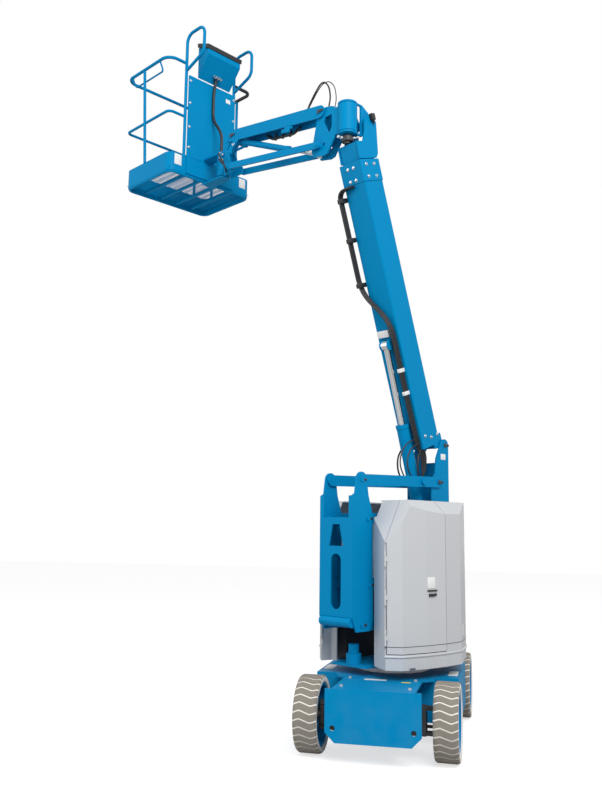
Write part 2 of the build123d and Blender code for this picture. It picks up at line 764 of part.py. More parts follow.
# ================================================================ main boom
# Along x from the pivot; the tube hangs below the pivot.
tube_middle = boom_top - boom_depth / 2
with BuildPart() as boom_outer:
    with BuildSketch(Plane.YZ.offset(boom_tube_start)):
        with Locations((0, tube_middle)):
            RectangleRounded(boom_width, boom_depth, 14)
            RectangleRounded(boom_width - 2 * boom_wall, boom_depth - 2 * boom_wall, 6, mode=Mode.SUBTRACT)
    extrude(amount=boom_tube_end - boom_tube_start)
    with BuildSketch(Plane.YZ.offset(boom_tube_end - collar_length)):
        with Locations((0, tube_middle)):
            RectangleRounded(boom_width + 12, boom_depth + 12, 16)
            RectangleRounded(boom_width - 4, boom_depth - 4, 10, mode=Mode.SUBTRACT)
    extrude(amount=collar_length)
    with BuildSketch(Plane.XZ.offset(-boom_width / 2 + 1)):
        Circle(50)
        with Locations((60, -60)):
            Rectangle(120, 120)
    extrude(amount=24)
    mirror(about=Plane.XZ)
    with BuildSketch(Plane.XZ):
        Circle(boom_pin_radius + running_clearance)
    extrude(amount=boom_width, both=True, mode=Mode.SUBTRACT)
    add(clevis((lift_head[0], tube_middle - boom_depth / 2 + 2), lift_head, 45))
save(boom_outer.part, "boom_outer", boom_place)

with BuildPart() as boom_inner:
    with BuildSketch(Plane.YZ.offset(inner_tail)):
        with Locations((0, tube_middle)):
            RectangleRounded(inner_width, inner_depth, 12)
            RectangleRounded(inner_width - 2 * boom_wall, inner_depth - 2 * boom_wall, 4, mode=Mode.SUBTRACT)
    extrude(amount=inner_end - inner_tail)
    with BuildSketch(Plane.XZ.offset(-inner_width / 2 + 1)):
        with BuildLine():
            Polyline((boom_tube_end + 12, -275), (boom_tube_end + 12, -40), (boom_tube_end + 50, -8),
                     (level_pin[0] - 15, 58), (level_pin[0] + 35, 44), (level_pin[0] + 55, -10),
                     (level_pin[0] + 20, -95), (level_pin[0] - 80, -130), (level_pin[0] - 170, -180),
                     (level_pin[0] - 170, -265), close=True)
        make_face()
    extrude(amount=-cheek_thickness)
    mirror(about=Plane.XZ)
    add(cross_rod([level_pin], level_pin_radius, -inner_width / 2 - cheek_thickness - 8, inner_width / 2 + cheek_thickness + 8))
save(boom_inner.part, "boom_inner", boom_place)

# hoses of the boom: three abreast, off the boom's right side, then under it beside the lift cylinder
hose_radius = 10
hose_side = -boom_width / 2 - 40
hose_run = 84
hose_start = boom_tube_end - collar_length - 20
hose_floor = boom_top - boom_depth - hose_radius - 2
with BuildPart() as boom_hoses:
    for k in range(3):
        z = hose_floor - 21 * k
        add(hose([(hose_start, 0, z), (hose_start, hose_side, z), (1500, hose_side, z),
                  (1190, hose_run, z), (330, hose_run, z)], hose_radius, (70, 380, 380)))
save(boom_hoses.part, "boom_hoses", boom_place)

lift_foot_point = plus(upper_rear, lift_foot)
lift_head_point = plus(boom_foot, turned(lift_head, boom_angle))
lift_run = (lift_head_point[0] - lift_foot_point[0], lift_head_point[1] - lift_foot_point[1])
lift_length = hypot(*lift_run)
lift_angle = degrees(atan2(lift_run[1], lift_run[0]))
lift_place = turntable_place * placed(*lift_foot_point, lift_angle)
save(cylinder_barrel(800, 55, 42, 60, 20), "lift_barrel", lift_place)
save(cylinder_rod(lift_length, 745, 27, 40, 60), "lift_rod", lift_place)

# level bracket, from the level pin: two plates to a disc above and a disc below the housing
housing_high = swivel_top - swivel_disc - moving_gap
housing_low = swivel_low + swivel_disc + moving_gap
with BuildPart() as level_bracket:
    with BuildSketch(Plane.XZ):
        Circle(32)
    extrude(amount=88, both=True)
    with BuildSketch(Plane.XZ.offset(-56)):
        with BuildLine():
            Polyline((-30, 20), (10, 80), (swivel_reach - swivel_radius - 25, swivel_top), (swivel_reach, swivel_top),
                     (swivel_reach, swivel_top - swivel_disc), (swivel_reach - swivel_radius - 8, swivel_top - swivel_disc),
                     (swivel_reach - swivel_radius - 8, swivel_low + swivel_disc), (swivel_reach, swivel_low + swivel_disc),
                     (swivel_reach, swivel_low), (swivel_reach - swivel_radius - 25, swivel_low), (-20, -26), close=True)
        make_face()
    extrude(amount=-16)
    mirror(about=Plane.XZ)
    for z in (swivel_low, swivel_top - swivel_disc):
        with BuildSketch(Plane.XY.offset(z)):
            with Locations((swivel_reach, 0)):
                Circle(swivel_radius)
        extrude(amount=swivel_disc)
    with BuildSketch(Plane.XY.offset(swivel_low)):
        with Locations((swivel_reach, 0)):
            Circle(swivel_shaft)
    extrude(amount=swivel_top - swivel_low)
    with BuildSketch(Plane.XZ):
        Circle(level_pin_radius + running_clearance)
    extrude(amount=100, both=True, mode=Mode.SUBTRACT)
save(level_bracket.part, "level_bracket", level_place)

# ================================================================ jib
base_start = swivel_radius + 10
with BuildPart() as jib_base:
    with BuildSketch(Plane.XY.offset(housing_low)):
        Circle(swivel_radius)
        with Locations((base_start / 2, 0)):
            Rectangle(base_start, 2 * (spine_inner + spine_plate))
    extrude(amount=housing_high - housing_low)
    with BuildSketch(Plane.XZ.offset(-spine_inner)):
        with BuildLine():
            Polyline((base_start - 12, housing_high), (base_start + 3, housing_high), (base_start + 18, swivel_top),
                     (200, 150), (jib_pin[0] - 40, 150), (jib_pin[0] + 42, jib_pin[1] + 20),
                     (jib_pin[0] + 42, jib_pin[1] - 40), (jib_foot[0] + 40, jib_foot[1] + 20),
                     (jib_foot[0] + 20, jib_foot[1] - 34), (235, jib_foot[1] - 60), (190, jib_foot[1] - 50),
                     (base_start + 8, housing_low - 20), (base_start + 3, housing_low),
                     (base_start - 12, housing_low), close=True)
        make_face()
        with BuildLine():
            Polyline((135, 60), (215, 60), (235, 20), (170, -110), (135, -60), close=True)
        make_face(mode=Mode.SUBTRACT)
        with Locations((230, -190)):
            Circle(14, mode=Mode.SUBTRACT)
    extrude(amount=-spine_plate)
    mirror(about=Plane.XZ)
    with Locations((base_start + 26, 0, (swivel_top + housing_low) / 2 - 10)):
        Box(16, 2 * spine_inner, swivel_top - housing_low - 40)
    with Locations((200, 0, 142)):
        Box(90, 2 * spine_inner, 16)
    with BuildSketch(Plane.XY.offset(housing_low)):
        Circle(swivel_shaft + running_clearance)
    extrude(amount=housing_high - housing_low, mode=Mode.SUBTRACT)
    add(cross_rod([jib_pin], jib_pin_radius, -jib_arm_width / 2 - 7, jib_arm_width / 2 + 7))
    jib_low = plus(jib_pin, jib_link_offset)
    add(cross_rod([jib_low], 22, spine_inner, 80))
    add(cross_rod([jib_low], 14, 70, 112))
    add(cross_rod([jib_low], 22, -spine_inner, -80))
    add(cross_rod([jib_low], 14, -70, -112))
save(jib_base.part, "jib_base", jib_base_place)

with BuildPart() as jib_arm:
    with BuildSketch(Plane.XZ.offset(-jib_arm_width / 2 + 10)):
        with Locations((jib_length / 2, 0)):
            SlotCenterToCenter(jib_length, jib_arm_depth)
        with Locations(jib_head):
            Circle(40)
        with Locations((0, 0), (jib_length, 0)):
            Circle(jib_pin_radius + running_clearance, mode=Mode.SUBTRACT)
    extrude(amount=-10)
    mirror(about=Plane.XZ)
    with Locations((jib_length / 2, 0, jib_arm_depth / 2 - 5)):
        Box(jib_length - 190, jib_arm_width, 10)
    add(cross_rod([jib_head], 14, -jib_arm_width / 2 + 5, jib_arm_width / 2 - 5))
save(jib_arm.part, "jib_arm", jib_arm_place)

with BuildPart() as jib_links:
    add(bar(jib_length, 60, 85, 20, 14 + running_clearance))
    mirror(about=Plane.XZ)
save(jib_links.part, "jib_links", jib_link_place)

jib_hose = hose([(360, -50, -30), (440, -50, -80), (740, -50, -80), (820, -50, -30)], 12, (120, 120))
save(jib_hose, "jib_hose", jib_arm_place)

jib_head_point = plus(jib_pin, turned(jib_head, jib_angle))
jib_run = (jib_foot[0] - jib_head_point[0], jib_foot[1] - jib_head_point[1])
jib_cylinder_length = hypot(*jib_run)
jib_cylinder_angle = degrees(atan2(jib_run[1], jib_run[0]))
jib_cylinder_place = jib_base_place * placed(*jib_head_point, jib_cylinder_angle)
save(cylinder_barrel(762, 30, 30, 54, 14), "jib_barrel", jib_cylinder_place)
save(cylinder_rod(jib_cylinder_length, 415, 16, 28, 54), "jib_rod", jib_cylinder_place)

rotator_radius = 68
rotator_height = 230
rotator_z = -235
with BuildPart() as platform_support:
    with BuildSketch(Plane.XZ.offset(-spine_inner)):
        with BuildLine():
            Polyline((0, 34), (38, 34), (130, -60), (130, -370), (-35, -365), (-38, -300), (50, -240),
                     (60, -170), (95, -110), (15, -30), close=True)
        make_face()
        Circle(38)
    extrude(amount=-spine_plate)
    mirror(about=Plane.XZ)
    with Locations((125, 0, rotator_z)):
        Box(16, 2 * spine_inner + 20, rotator_height)
    with BuildSketch(Plane.XY.offset(rotator_z - rotator_height / 2)):
        with Locations((rotator_reach, 0)):
            Circle(rotator_radius)
            Circle(25 + running_clearance, mode=Mode.SUBTRACT)
    extrude(amount=rotator_height)
    add(cross_rod([(0, 0)], jib_pin_radius, -jib_arm_width / 2 - 7, jib_arm_width / 2 + 7))
    add(cross_rod([jib_link_offset], 22, spine_inner, 80))
    add(cross_rod([jib_link_offset], 14, 70, 112))
    add(cross_rod([jib_link_offset], 22, -spine_inner, -80))
    add(cross_rod([jib_link_offset], 14, -70, -112))
save(platform_support.part, "platform_support", support_place)

# ================================================================ platform
# Frame on the turning axis at the platform's underside, x away from the jib.
rear_x = platform_reach
front_face = platform_reach + platform_depth
left_y = platform_shift + platform_length / 2
right_y = platform_shift - platform_length / 2
mid_x = (rear_x + front_face) / 2
rotator_low = platform_drop + rotator_z - rotator_height / 2
panel_y = -31                # rear panel's middle
panel_half = 328
panel_height = 1075
panel_joint = 600            # lower sheet to the upper one
sheet = 6                    # toe boards and floor
floor_z = 30
toe_top = 201
ring_radius = 14             # tube round the platform's underside
rail_x = (rear_x + sheet + rail_radius + 1, front_face - 5)
rail_y = (left_y - 5, right_y + 5)
top_rail_y = rail_y[0] + 45  # the top rail stands out on the left
post_x = 710                 # left side post
entry_x = (520, 930)         # entry posts on the right side
panel_posts = (panel_y + panel_half - 12, panel_y - panel_half + 12)
front_post_y = -420
hoop_x = 10                  # hoops' legs towards the jib
hoop_top = 1520
pad_end = rear_x + 460       # end of the padded part of the top rail
bend = 75


with BuildPart() as platform_mount:
    for z in (rotator_low - 22, rotator_low + rotator_height + 6):
        with BuildSketch(Plane.XY.offset(z)):
            Circle(60)
            with Locations((platform_reach / 2, 0)):
                Rectangle(platform_reach, 120)
        extrude(amount=16)
    with BuildSketch(Plane.XY.offset(rotator_low - 22)):
        Circle(25)
    extrude(amount=rotator_height + 44)
    with Locations((rear_x - 6, panel_y, panel_height / 2 + 10)):
        Box(12, 2 * panel_half - 50, panel_height - 20)
    with Locations((rear_x - 13, panel_y, (panel_joint + toe_top) / 2)):
        Box(4, 2 * panel_half - 110, panel_joint - toe_top)
save(platform_mount.part, "platform_mount", platform_place)

with BuildPart() as platform_deck:
    with BuildSketch(Plane.XY.offset(floor_z - 18)):
        with Locations((mid_x, platform_shift)):
            RectangleRounded(platform_depth, platform_length, bend)
            RectangleRounded(platform_depth - 2 * sheet, platform_length - 2 * sheet, bend - sheet, mode=Mode.SUBTRACT)
    extrude(amount=toe_top - floor_z + 18)
    with BuildSketch(Plane.XY.offset(floor_z - 18)):
        with Locations((mid_x, platform_shift)):
            RectangleRounded(platform_depth - sheet, platform_length - sheet, bend - sheet / 2)
            bay = (platform_length - 2 * sheet - 30) / 5
            with GridLocations(0, bay, 1, 5):
                Rectangle(platform_depth - 2 * sheet - 56, bay - 30, mode=Mode.SUBTRACT)
    extrude(amount=24)
save(platform_deck.part, "platform_deck", platform_place)

with BuildPart() as platform_grating:
    with BuildSketch(Plane.XY.offset(floor_z + 7)):
        with Locations((mid_x, platform_shift)):
            RectangleRounded(platform_depth - 2 * sheet - 4, platform_length - 2 * sheet - 4, bend - sheet - 2)
    extrude(amount=8)
    with BuildSketch(Plane.XY.offset(floor_z)):
        with Locations((mid_x, platform_shift)):
            with GridLocations(0, slot_pitch, 1, slot_count):
                for x in (-230, 0, 230):
                    with Locations((x, 0)):
                        Rectangle(200, slot_width)
    extrude(amount=30, mode=Mode.SUBTRACT)
save(platform_grating.part, "platform_grating", platform_place)

ring_y = (left_y - ring_radius, right_y + ring_radius)
ring_x = (rear_x + ring_radius, front_face - ring_radius)
with BuildPart() as deck_ring:
    for side in (0, 1):
        add(tube([(mid_x, ring_y[side], ring_radius - 11), (ring_x[1], ring_y[side], ring_radius - 11),
                  (ring_x[1], platform_shift, ring_radius - 11)], ring_radius, bend))
        add(tube([(mid_x, ring_y[side], ring_radius - 11), (ring_x[0], ring_y[side], ring_radius - 11),
                  (ring_x[0], platform_shift, ring_radius - 11)], ring_radius, bend))
save(deck_ring.part, "deck_ring", platform_place)

# top rail: a padded length on the right, the rest bare
top_z = rail_height
pad_corner = (rail_x[0], rail_y[1], top_z)
save(tube([(rail_x[0], panel_posts[1] - 20, top_z), pad_corner, (pad_end, rail_y[1], top_z)], rail_radius + 2, bend),
     "rail_pad", platform_place)
with BuildPart() as top_rail:
    add(tube([(pad_end, rail_y[1], top_z), (rail_x[1], rail_y[1], top_z), (rail_x[1], top_rail_y, top_z),
              (rail_x[0], top_rail_y, top_z), (rail_x[0], panel_posts[0] + 20, top_z)], rail_radius, 1.5 * bend))
    # hand hold inside the left rail
    add(tube([(440, top_rail_y, top_z - 8), (440, top_rail_y - 45, top_z - 100), (930, top_rail_y - 45, top_z - 100),
              (930, top_rail_y, top_z - 8)], 9, 30))
save(top_rail.part, "top_rail", platform_place)

mid_z = rail_height * 0.52
mid_rail_left = tube([(rail_x[0], panel_posts[0] + 20, mid_z), (rail_x[0], rail_y[0] + 15, mid_z),
                      (rail_x[1], rail_y[0] + 15, mid_z), (rail_x[1], rail_y[1], mid_z),
                      (entry_x[1] + 20, rail_y[1], mid_z)], rail_radius - 2, bend - 20)
save(mid_rail_left, "mid_rail_left", platform_place)
save(tube([(rail_x[0], panel_posts[1] - 20, mid_z), (rail_x[0], rail_y[1], mid_z),
           (entry_x[0] - 20, rail_y[1], mid_z)], rail_radius - 2, bend), "mid_rail_right", platform_place)

with BuildPart() as platform_posts:
    with BuildSketch(Plane.XY.offset(toe_top)):
        with Locations((entry_x[0], rail_y[1]), (entry_x[1], rail_y[1]), (rail_x[1], front_post_y)):
            Circle(rail_radius - 1)
    extrude(amount=top_z - rail_radius - toe_top - 3)
    # left post, leaning out to the top rail
    post_rise = top_z - rail_radius - toe_top - 4
    with BuildSketch(Plane(origin=(post_x, rail_y[0], toe_top + 1), z_dir=(0, top_rail_y - rail_y[0], post_rise))):
        Circle(rail_radius - 1)
    extrude(amount=post_rise)
    # saddle where the middle rail crosses
    add(mid_rail_left, mode=Mode.SUBTRACT)
save(platform_posts.part, "platform_posts", platform_place)

for name, y in (("left", panel_posts[0]), ("right", panel_posts[1])):
    save(tube([(rail_x[0], y, floor_z + 20), (rail_x[0], y, hoop_top), (hoop_x, y, hoop_top), (hoop_x, y, 1230),
               (rail_x[0] - 17, y, 1135)], rail_radius, 90), f"hoop_{name}", platform_place)

# control box between the hoops, from the rear panel's top edge towards the jib
box_y = -45
box_length = 420
box_side = ((258, panel_height + 12), (90, 1290), (90, 1345), (258, 1415))
with BuildPart() as control_box:
    with BuildSketch(Plane.XZ.offset(-box_y + box_length / 2)):
        with BuildLine():
            Polyline(*box_side, close=True)
        make_face()
    extrude(amount=-box_length)
save(control_box.part, "control_box", platform_place)

with BuildPart() as control_lid:
    with BuildSketch(Plane.XZ.offset(-box_y + box_length / 2 + 12)):
        with BuildLine():
            Polyline((82, 1346), (76, 1388), (262, 1466), (262, 1422), close=True)
        make_face()
    extrude(amount=-box_length - 24)
save(control_lid.part, "control_lid", platform_place)

# cable from the control box down to the turning joint
save(hose([(205, panel_y, 1128), (238, panel_y, 960), (238, panel_y, 690), (84, panel_y, 480),
           (84, panel_y, rotator_low + rotator_height + 24)], 15, (400, 250, 250)), "control_cable", platform_place)

entry_z = mid_z + 42
with BuildPart() as entry_rail:
    with BuildSketch(Plane.YZ.offset(entry_x[0] + 22)):
        with Locations((rail_y[1], entry_z)):
            Circle(rail_radius - 1)
    extrude(amount=entry_x[1] - entry_x[0] - 44)
    with BuildSketch(Plane.XY.offset(entry_z - 22)):
        with Locations((entry_x[0], rail_y[1]), (entry_x[1], rail_y[1])):
            Circle(rail_radius + 9)
            Circle(rail_radius + 1, mode=Mode.SUBTRACT)
    extrude(amount=44)
save(entry_rail.part, "entry_rail", platform_place)

# ================================================================ whole machine
# The origin is on the ground, under the middle of the whole machine.
boxes = [piece.bounding_box() for piece in pieces.values()]
middle_x = (min(box.min.X for box in boxes) + max(box.max.X for box in boxes)) / 2
middle_y = (min(box.min.Y for box in boxes) + max(box.max.Y for box in boxes)) / 2
origin_shift = Location((-middle_x, -middle_y, 0))
for name, piece in pieces.items():
    piece = piece.moved(origin_shift)
    piece.label = name
    export_step(piece, f"parts/{name}.step")
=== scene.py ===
import json
from math import cos, pi, radians, sin

import bpy
from mathutils import Matrix, Vector


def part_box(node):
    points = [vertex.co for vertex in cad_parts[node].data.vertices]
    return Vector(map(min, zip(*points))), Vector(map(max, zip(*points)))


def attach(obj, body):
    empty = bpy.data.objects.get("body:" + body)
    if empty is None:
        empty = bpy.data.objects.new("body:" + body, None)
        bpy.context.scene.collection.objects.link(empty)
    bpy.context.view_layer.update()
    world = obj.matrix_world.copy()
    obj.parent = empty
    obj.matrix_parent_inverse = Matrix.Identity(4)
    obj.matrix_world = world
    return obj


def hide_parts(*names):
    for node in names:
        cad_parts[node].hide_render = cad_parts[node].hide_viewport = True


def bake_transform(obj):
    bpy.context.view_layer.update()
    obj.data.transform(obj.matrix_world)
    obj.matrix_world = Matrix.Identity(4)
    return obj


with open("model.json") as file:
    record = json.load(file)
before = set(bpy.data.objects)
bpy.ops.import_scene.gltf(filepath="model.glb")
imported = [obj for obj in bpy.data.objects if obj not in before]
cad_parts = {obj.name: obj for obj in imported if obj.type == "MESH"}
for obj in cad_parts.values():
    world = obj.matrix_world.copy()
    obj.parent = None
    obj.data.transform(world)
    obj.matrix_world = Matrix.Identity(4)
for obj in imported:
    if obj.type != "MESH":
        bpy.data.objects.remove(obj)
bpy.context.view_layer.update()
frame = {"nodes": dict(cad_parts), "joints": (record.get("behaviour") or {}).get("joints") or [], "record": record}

# ---------------------------------------------------------------- places taken from the frame
JOINTS = {joint["name"]: joint for joint in frame["joints"]}
UP = Vector((0, 0, 1))


def pivot(joint):
    """The point that a hinge turns about."""
    return Vector(JOINTS[joint]["pos_m"])


def axis_of(joint):
    """The direction of a joint's axis."""
    return Vector(JOINTS[joint]["axis"]).normalized()


def local_frame(start, x_way, y_way):
    """Axes fixed in a part at rest: x along it, y to its left, z up across it."""
    x_way, y_way = x_way.normalized(), y_way.normalized()
    axes = Matrix((x_way, y_way, x_way.cross(y_way))).transposed().to_4x4()
    return Matrix.Translation(start) @ axes


ring_low, ring_high = (Vector(corner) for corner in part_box("slew_ring"))
slew = (ring_low + ring_high) / 2      # the turntable's axis
slew.z = 0
machine_left = -axis_of("primary_lift")
jib_left = -axis_of("jib_lift")
CHASSIS = local_frame(slew, Vector((0, -1, 0)), Vector((1, 0, 0)))
TURNTABLE = local_frame(slew, machine_left.cross(UP), machine_left)
UPRIGHT = local_frame(pivot("upright_pivot"), machine_left.cross(UP), machine_left)
MID_RISER = local_frame(pivot("mid_riser_pivot"), machine_left.cross(UP), machine_left)
BOOM = local_frame(pivot("primary_lift"), axis_of("primary_extend"), machine_left)
JIB_BASE = local_frame(pivot("jib_swing"), jib_left.cross(UP), jib_left)
JIB_ARM = local_frame(pivot("jib_lift"), pivot("platform_support_pivot") - pivot("jib_lift"), jib_left)
SUPPORT = local_frame(pivot("platform_support_pivot"), jib_left.cross(UP), jib_left)
PLATFORM = local_frame(pivot("platform_rotate"), jib_left.cross(UP), jib_left)

# ---------------------------------------------------------------- colours, as the finishes are in daylight
BLUE = (0.0, 0.236, 0.500)      # linear colours
COVER_GREY = (0.545, 0.560, 0.580)
TYRE_TAUPE = (0.235, 0.212, 0.178)
# pale of dust in the tread grooves, and painted highlight: the pale tyre sidewalls and shoulders stand for the
# shoulder's lit edge
GROOVE_DUST_AND_SHOULDER_HIGHLIGHT = (0.860, 0.820, 0.760)
LABEL_WHITE = (0.800, 0.805, 0.800)
LABEL_YELLOW = (0.780, 0.640, 0.060)
BLACK = (0.012, 0.012, 0.014)
STEEL = (0.560, 0.570, 0.590)
CHROME = (0.780, 0.790, 0.800)
CHARCOAL = (0.035, 0.036, 0.040)
ZINC = (0.620, 0.640, 0.660)


# ================================================================ shader parts
def new_group(name, inputs, outputs):
    """An empty shader node group with the named sockets, and its two end nodes."""
    group = bpy.data.node_groups.new(name, "ShaderNodeTree")
    for title, kind, value in inputs:
        socket = group.interface.new_socket(name=title, in_out="INPUT", socket_type=kind)
        socket.default_value = value
    for title, kind in outputs:
        group.interface.new_socket(name=title, in_out="OUTPUT", socket_type=kind)
    start = group.nodes.new("NodeGroupInput")
    end = group.nodes.new("NodeGroupOutput")
    return group, start, end


def noise(tree, vector, scale, detail):
    """A noise texture read at a scale in turns a metre."""
    node = tree.nodes.new("ShaderNodeTexNoise")
    node.inputs["Detail"].default_value = detail
    node.inputs["Scale"].default_value = scale
    tree.links.new(vector, node.inputs["Vector"])
    return node.outputs["Fac"]


def math_node(tree, operation, first, second=0.5, clamp=False):
    """One arithmetic step between sockets or numbers."""
    node = tree.nodes.new("ShaderNodeMath")
    node.operation = operation
    node.use_clamp = clamp
    for value, socket in ((first, node.inputs[0]), (second, node.inputs[1])):
        if isinstance(value, (int, float)):
            socket.default_value = value
        else:
            tree.links.new(value, socket)
    return node.outputs[0]


def mix_colour(tree, mask, first, second):
    """Two colours mixed by a mask."""
    node = tree.nodes.new("ShaderNodeMix")
    node.data_type = "RGBA"
    tree.links.new(mask, node.inputs["Factor"])
    tree.links.new(first, node.inputs["A"])
    tree.links.new(second, node.inputs["B"])
    return node.outputs["Result"]


def map_range(tree, value, low, high):
    """A value stretched from a range to 0 to 1 and clamped."""
    node = tree.nodes.new("ShaderNodeMapRange")
    tree.links.new(value, node.inputs["Value"])
    node.inputs["From Min"].default_value = low
    node.inputs["From Max"].default_value = high
    return node.outputs["Result"]


BROAD_SCALE, FINE_SCALE, SPECKLE_SCALE = 1.7, 9.0, 240.0      # turns a metre
GRIME_LOW, GRIME_HIGH = 0.35, 0.75     # the noise where dust starts and where it is full
FINE_ROUGHENING = 0.16
DUST_ROUGHENING = 0.4
DUST_HEIGHT = 0.7                      # metres above a part's origin where dust ends


def make_weathering():
    """Broad shade changes, fine grime and dust that gathers low down."""
    group, start, end = new_group(
        "weathering",
        [("Colour", "NodeSocketColor", (0.5, 0.5, 0.5, 1)),
         ("Dust Colour", "NodeSocketColor", (0.45, 0.42, 0.38, 1)),
         ("Shade Change", "NodeSocketFloat", 0.06),
         ("Dust", "NodeSocketFloat", 0.25),
         ("Dust Height", "NodeSocketFloat", DUST_HEIGHT),
         ("Roughness", "NodeSocketFloat", 0.35),
         ("Bump", "NodeSocketFloat", 0.1)],
        [("Colour", "NodeSocketColor"), ("Roughness", "NodeSocketFloat"), ("Height", "NodeSocketFloat")])
    place = group.nodes.new("ShaderNodeTexCoord").outputs["Object"]
    broad = noise(group, place, BROAD_SCALE, 2.0)
    fine = noise(group, place, FINE_SCALE, 5.0)
    speckle = noise(group, place, SPECKLE_SCALE, 2.0)
    off_middle = math_node(group, "SUBTRACT", broad, 0.5)
    swing = math_node(group, "MULTIPLY", off_middle, start.outputs["Shade Change"])
    value = math_node(group, "ADD", 1.0, swing)
    shade = group.nodes.new("ShaderNodeHueSaturation")
    group.links.new(start.outputs["Colour"], shade.inputs["Color"])
    group.links.new(value, shade.inputs["Value"])
    split = group.nodes.new("ShaderNodeSeparateXYZ")
    group.links.new(place, split.inputs[0])
    rise = math_node(group, "DIVIDE", split.outputs["Z"], start.outputs["Dust Height"])
    low = math_node(group, "SUBTRACT", 1.0, rise, clamp=True)
    patchy = map_range(group, fine, GRIME_LOW, GRIME_HIGH)
    amount = math_node(group, "MULTIPLY", math_node(group, "MULTIPLY", low, patchy), start.outputs["Dust"])
    colour = mix_colour(group, amount, shade.outputs["Color"], start.outputs["Dust Colour"])
    group.links.new(colour, end.inputs["Colour"])
    ripple = math_node(group, "MULTIPLY", math_node(group, "SUBTRACT", fine, 0.5), FINE_ROUGHENING)
    rough = math_node(group, "ADD", start.outputs["Roughness"], ripple)
    dusty = math_node(group, "MULTIPLY", amount, DUST_ROUGHENING)
    group.links.new(math_node(group, "ADD", rough, dusty), end.inputs["Roughness"])
    group.links.new(math_node(group, "MULTIPLY", speckle, start.outputs["Bump"]), end.inputs["Height"])
    return group


weathering = make_weathering()


def finish_of(name, colour, roughness, metallic=0.0, specular=0.5, shade=0.06, dust=0.2,
              bump=0.1, bump_depth=0.0004):
    """A material: a weathered base colour with a little surface texture."""
    material = bpy.data.materials.new(name)
    material.use_nodes = True
    tree = material.node_tree
    shader = tree.nodes["Principled BSDF"]
    shader.inputs["Metallic"].default_value = metallic
    shader.inputs["Specular IOR Level"].default_value = specular
    wear = tree.nodes.new("ShaderNodeGroup")
    wear.node_tree = weathering
    for socket, value in (("Colour", (*colour, 1)), ("Shade Change", shade), ("Dust", dust),
                          ("Roughness", roughness), ("Bump", bump)):
        wear.inputs[socket].default_value = value
    tree.links.new(wear.outputs["Colour"], shader.inputs["Base Color"])
    tree.links.new(wear.outputs["Roughness"], shader.inputs["Roughness"])
    relief = tree.nodes.new("ShaderNodeBump")
    relief.inputs["Distance"].default_value = bump_depth
    relief.inputs["Strength"].default_value = 0.5
    tree.links.new(wear.outputs["Height"], relief.inputs["Height"])
    tree.links.new(relief.outputs["Normal"], shader.inputs["Normal"])
    return material


blue_paint = finish_of("sky_blue_enamel", BLUE, 0.42, specular=0.05, shade=0.05, dust=0.06)
cover_plastic = finish_of("moulded_cover_grey", COVER_GREY, 0.42, shade=0.03, bump=0.6)
tyre_rubber = finish_of("grey_solid_rubber", TYRE_TAUPE, 0.85, shade=0.18, dust=0.35, bump=1.0, bump_depth=0.001)
black_plastic = finish_of("black_moulding", BLACK, 0.55, bump=0.8)
black_hose = finish_of("black_hose_rubber", BLACK, 0.5)
machined_steel = finish_of("machined_ring_steel", STEEL, 0.38, metallic=1.0)
chromed_steel = finish_of("chromed_rod_steel", CHROME, 0.12, metallic=1.0, dust=0.0, bump=0.0)
charcoal_paint = finish_of("charcoal_paint", CHARCOAL, 0.5)
# the carcass colour: dust in the grooves, and a painted highlight on the tyre's sidewalls and shoulders
groove_dust_and_highlight_rubber = finish_of("chalky_groove_and_painted_highlight_rubber", GROOVE_DUST_AND_SHOULDER_HIGHLIGHT, 0.9, shade=0.12, bump=1.0, bump_depth=0.001)
label_white = finish_of("white_label_film", LABEL_WHITE, 0.35, shade=0.02, dust=0.1)
label_yellow = finish_of("yellow_label_film", LABEL_YELLOW, 0.35, shade=0.02, dust=0.1)
zinc_steel = finish_of("zinc_plated_steel", ZINC, 0.32, metallic=1.0, dust=0.1)

FINISHES = {
    "blue_paint": blue_paint,
    "rim_paint": blue_paint,
    "cover_grey": cover_plastic,
    "tyre_rubber": tyre_rubber,
    "black_plastic": black_plastic,
    "black_rubber": black_hose,
    "machined_steel": machined_steel,
    "chromed_rod": chromed_steel,
    "dark_steel": charcoal_paint,
}

slot_of = {part["node"]: part["material_slot"] for part in frame["record"]["subparts"]}
for node, thing in frame["nodes"].items():
    thing.data.materials.clear()
    thing.data.materials.append(FINISHES[slot_of[node]])


# ================================================================ modelling steps
def only(piece):
    """Selects one piece and makes it the active one."""
    bpy.ops.object.select_all(action="DESELECT")
    piece.select_set(True)
    bpy.context.view_layer.objects.active = piece


def soften(piece, width, segments=2):
    """Rounds a piece's sharp edges."""
    only(piece)
    edges = piece.modifiers.new("edges", "BEVEL")
    edges.width = width
    edges.segments = segments
    edges.limit_method = "ANGLE"
    bpy.ops.object.modifier_apply(modifier="edges")
    return piece


def block(centre, size, rounding=0.002):
    """A block with rounded edges."""
    bpy.ops.object.select_all(action="DESELECT")
    bpy.ops.mesh.primitive_cube_add(size=1, location=centre, scale=size)
    piece = bpy.context.object
    bpy.ops.object.transform_apply(location=True, rotation=True, scale=True)
    return soften(piece, rounding)


def drum(centre, radius, height, sides=28, rounding=0.002, way=(0, 0, 1)):
    """A short bar with rounded rims, standing along `way`."""
    bpy.ops.object.select_all(action="DESELECT")
    turn = Vector(way).to_track_quat("Z", "Y").to_euler()
    bpy.ops.mesh.primitive_cylinder_add(vertices=sides, radius=radius, depth=height, location=centre, rotation=turn)
    piece = bpy.context.object
    bpy.ops.object.transform_apply(location=True, rotation=True, scale=True)
    return soften(piece, rounding)


def joined(parts):
    """Several meshes made one."""
    bpy.ops.object.select_all(action="DESELECT")
    for part in parts:
        part.select_set(True)
    bpy.context.view_layer.objects.active = parts[0]
    if len(parts) > 1:
        bpy.ops.object.join()
    return bpy.context.object


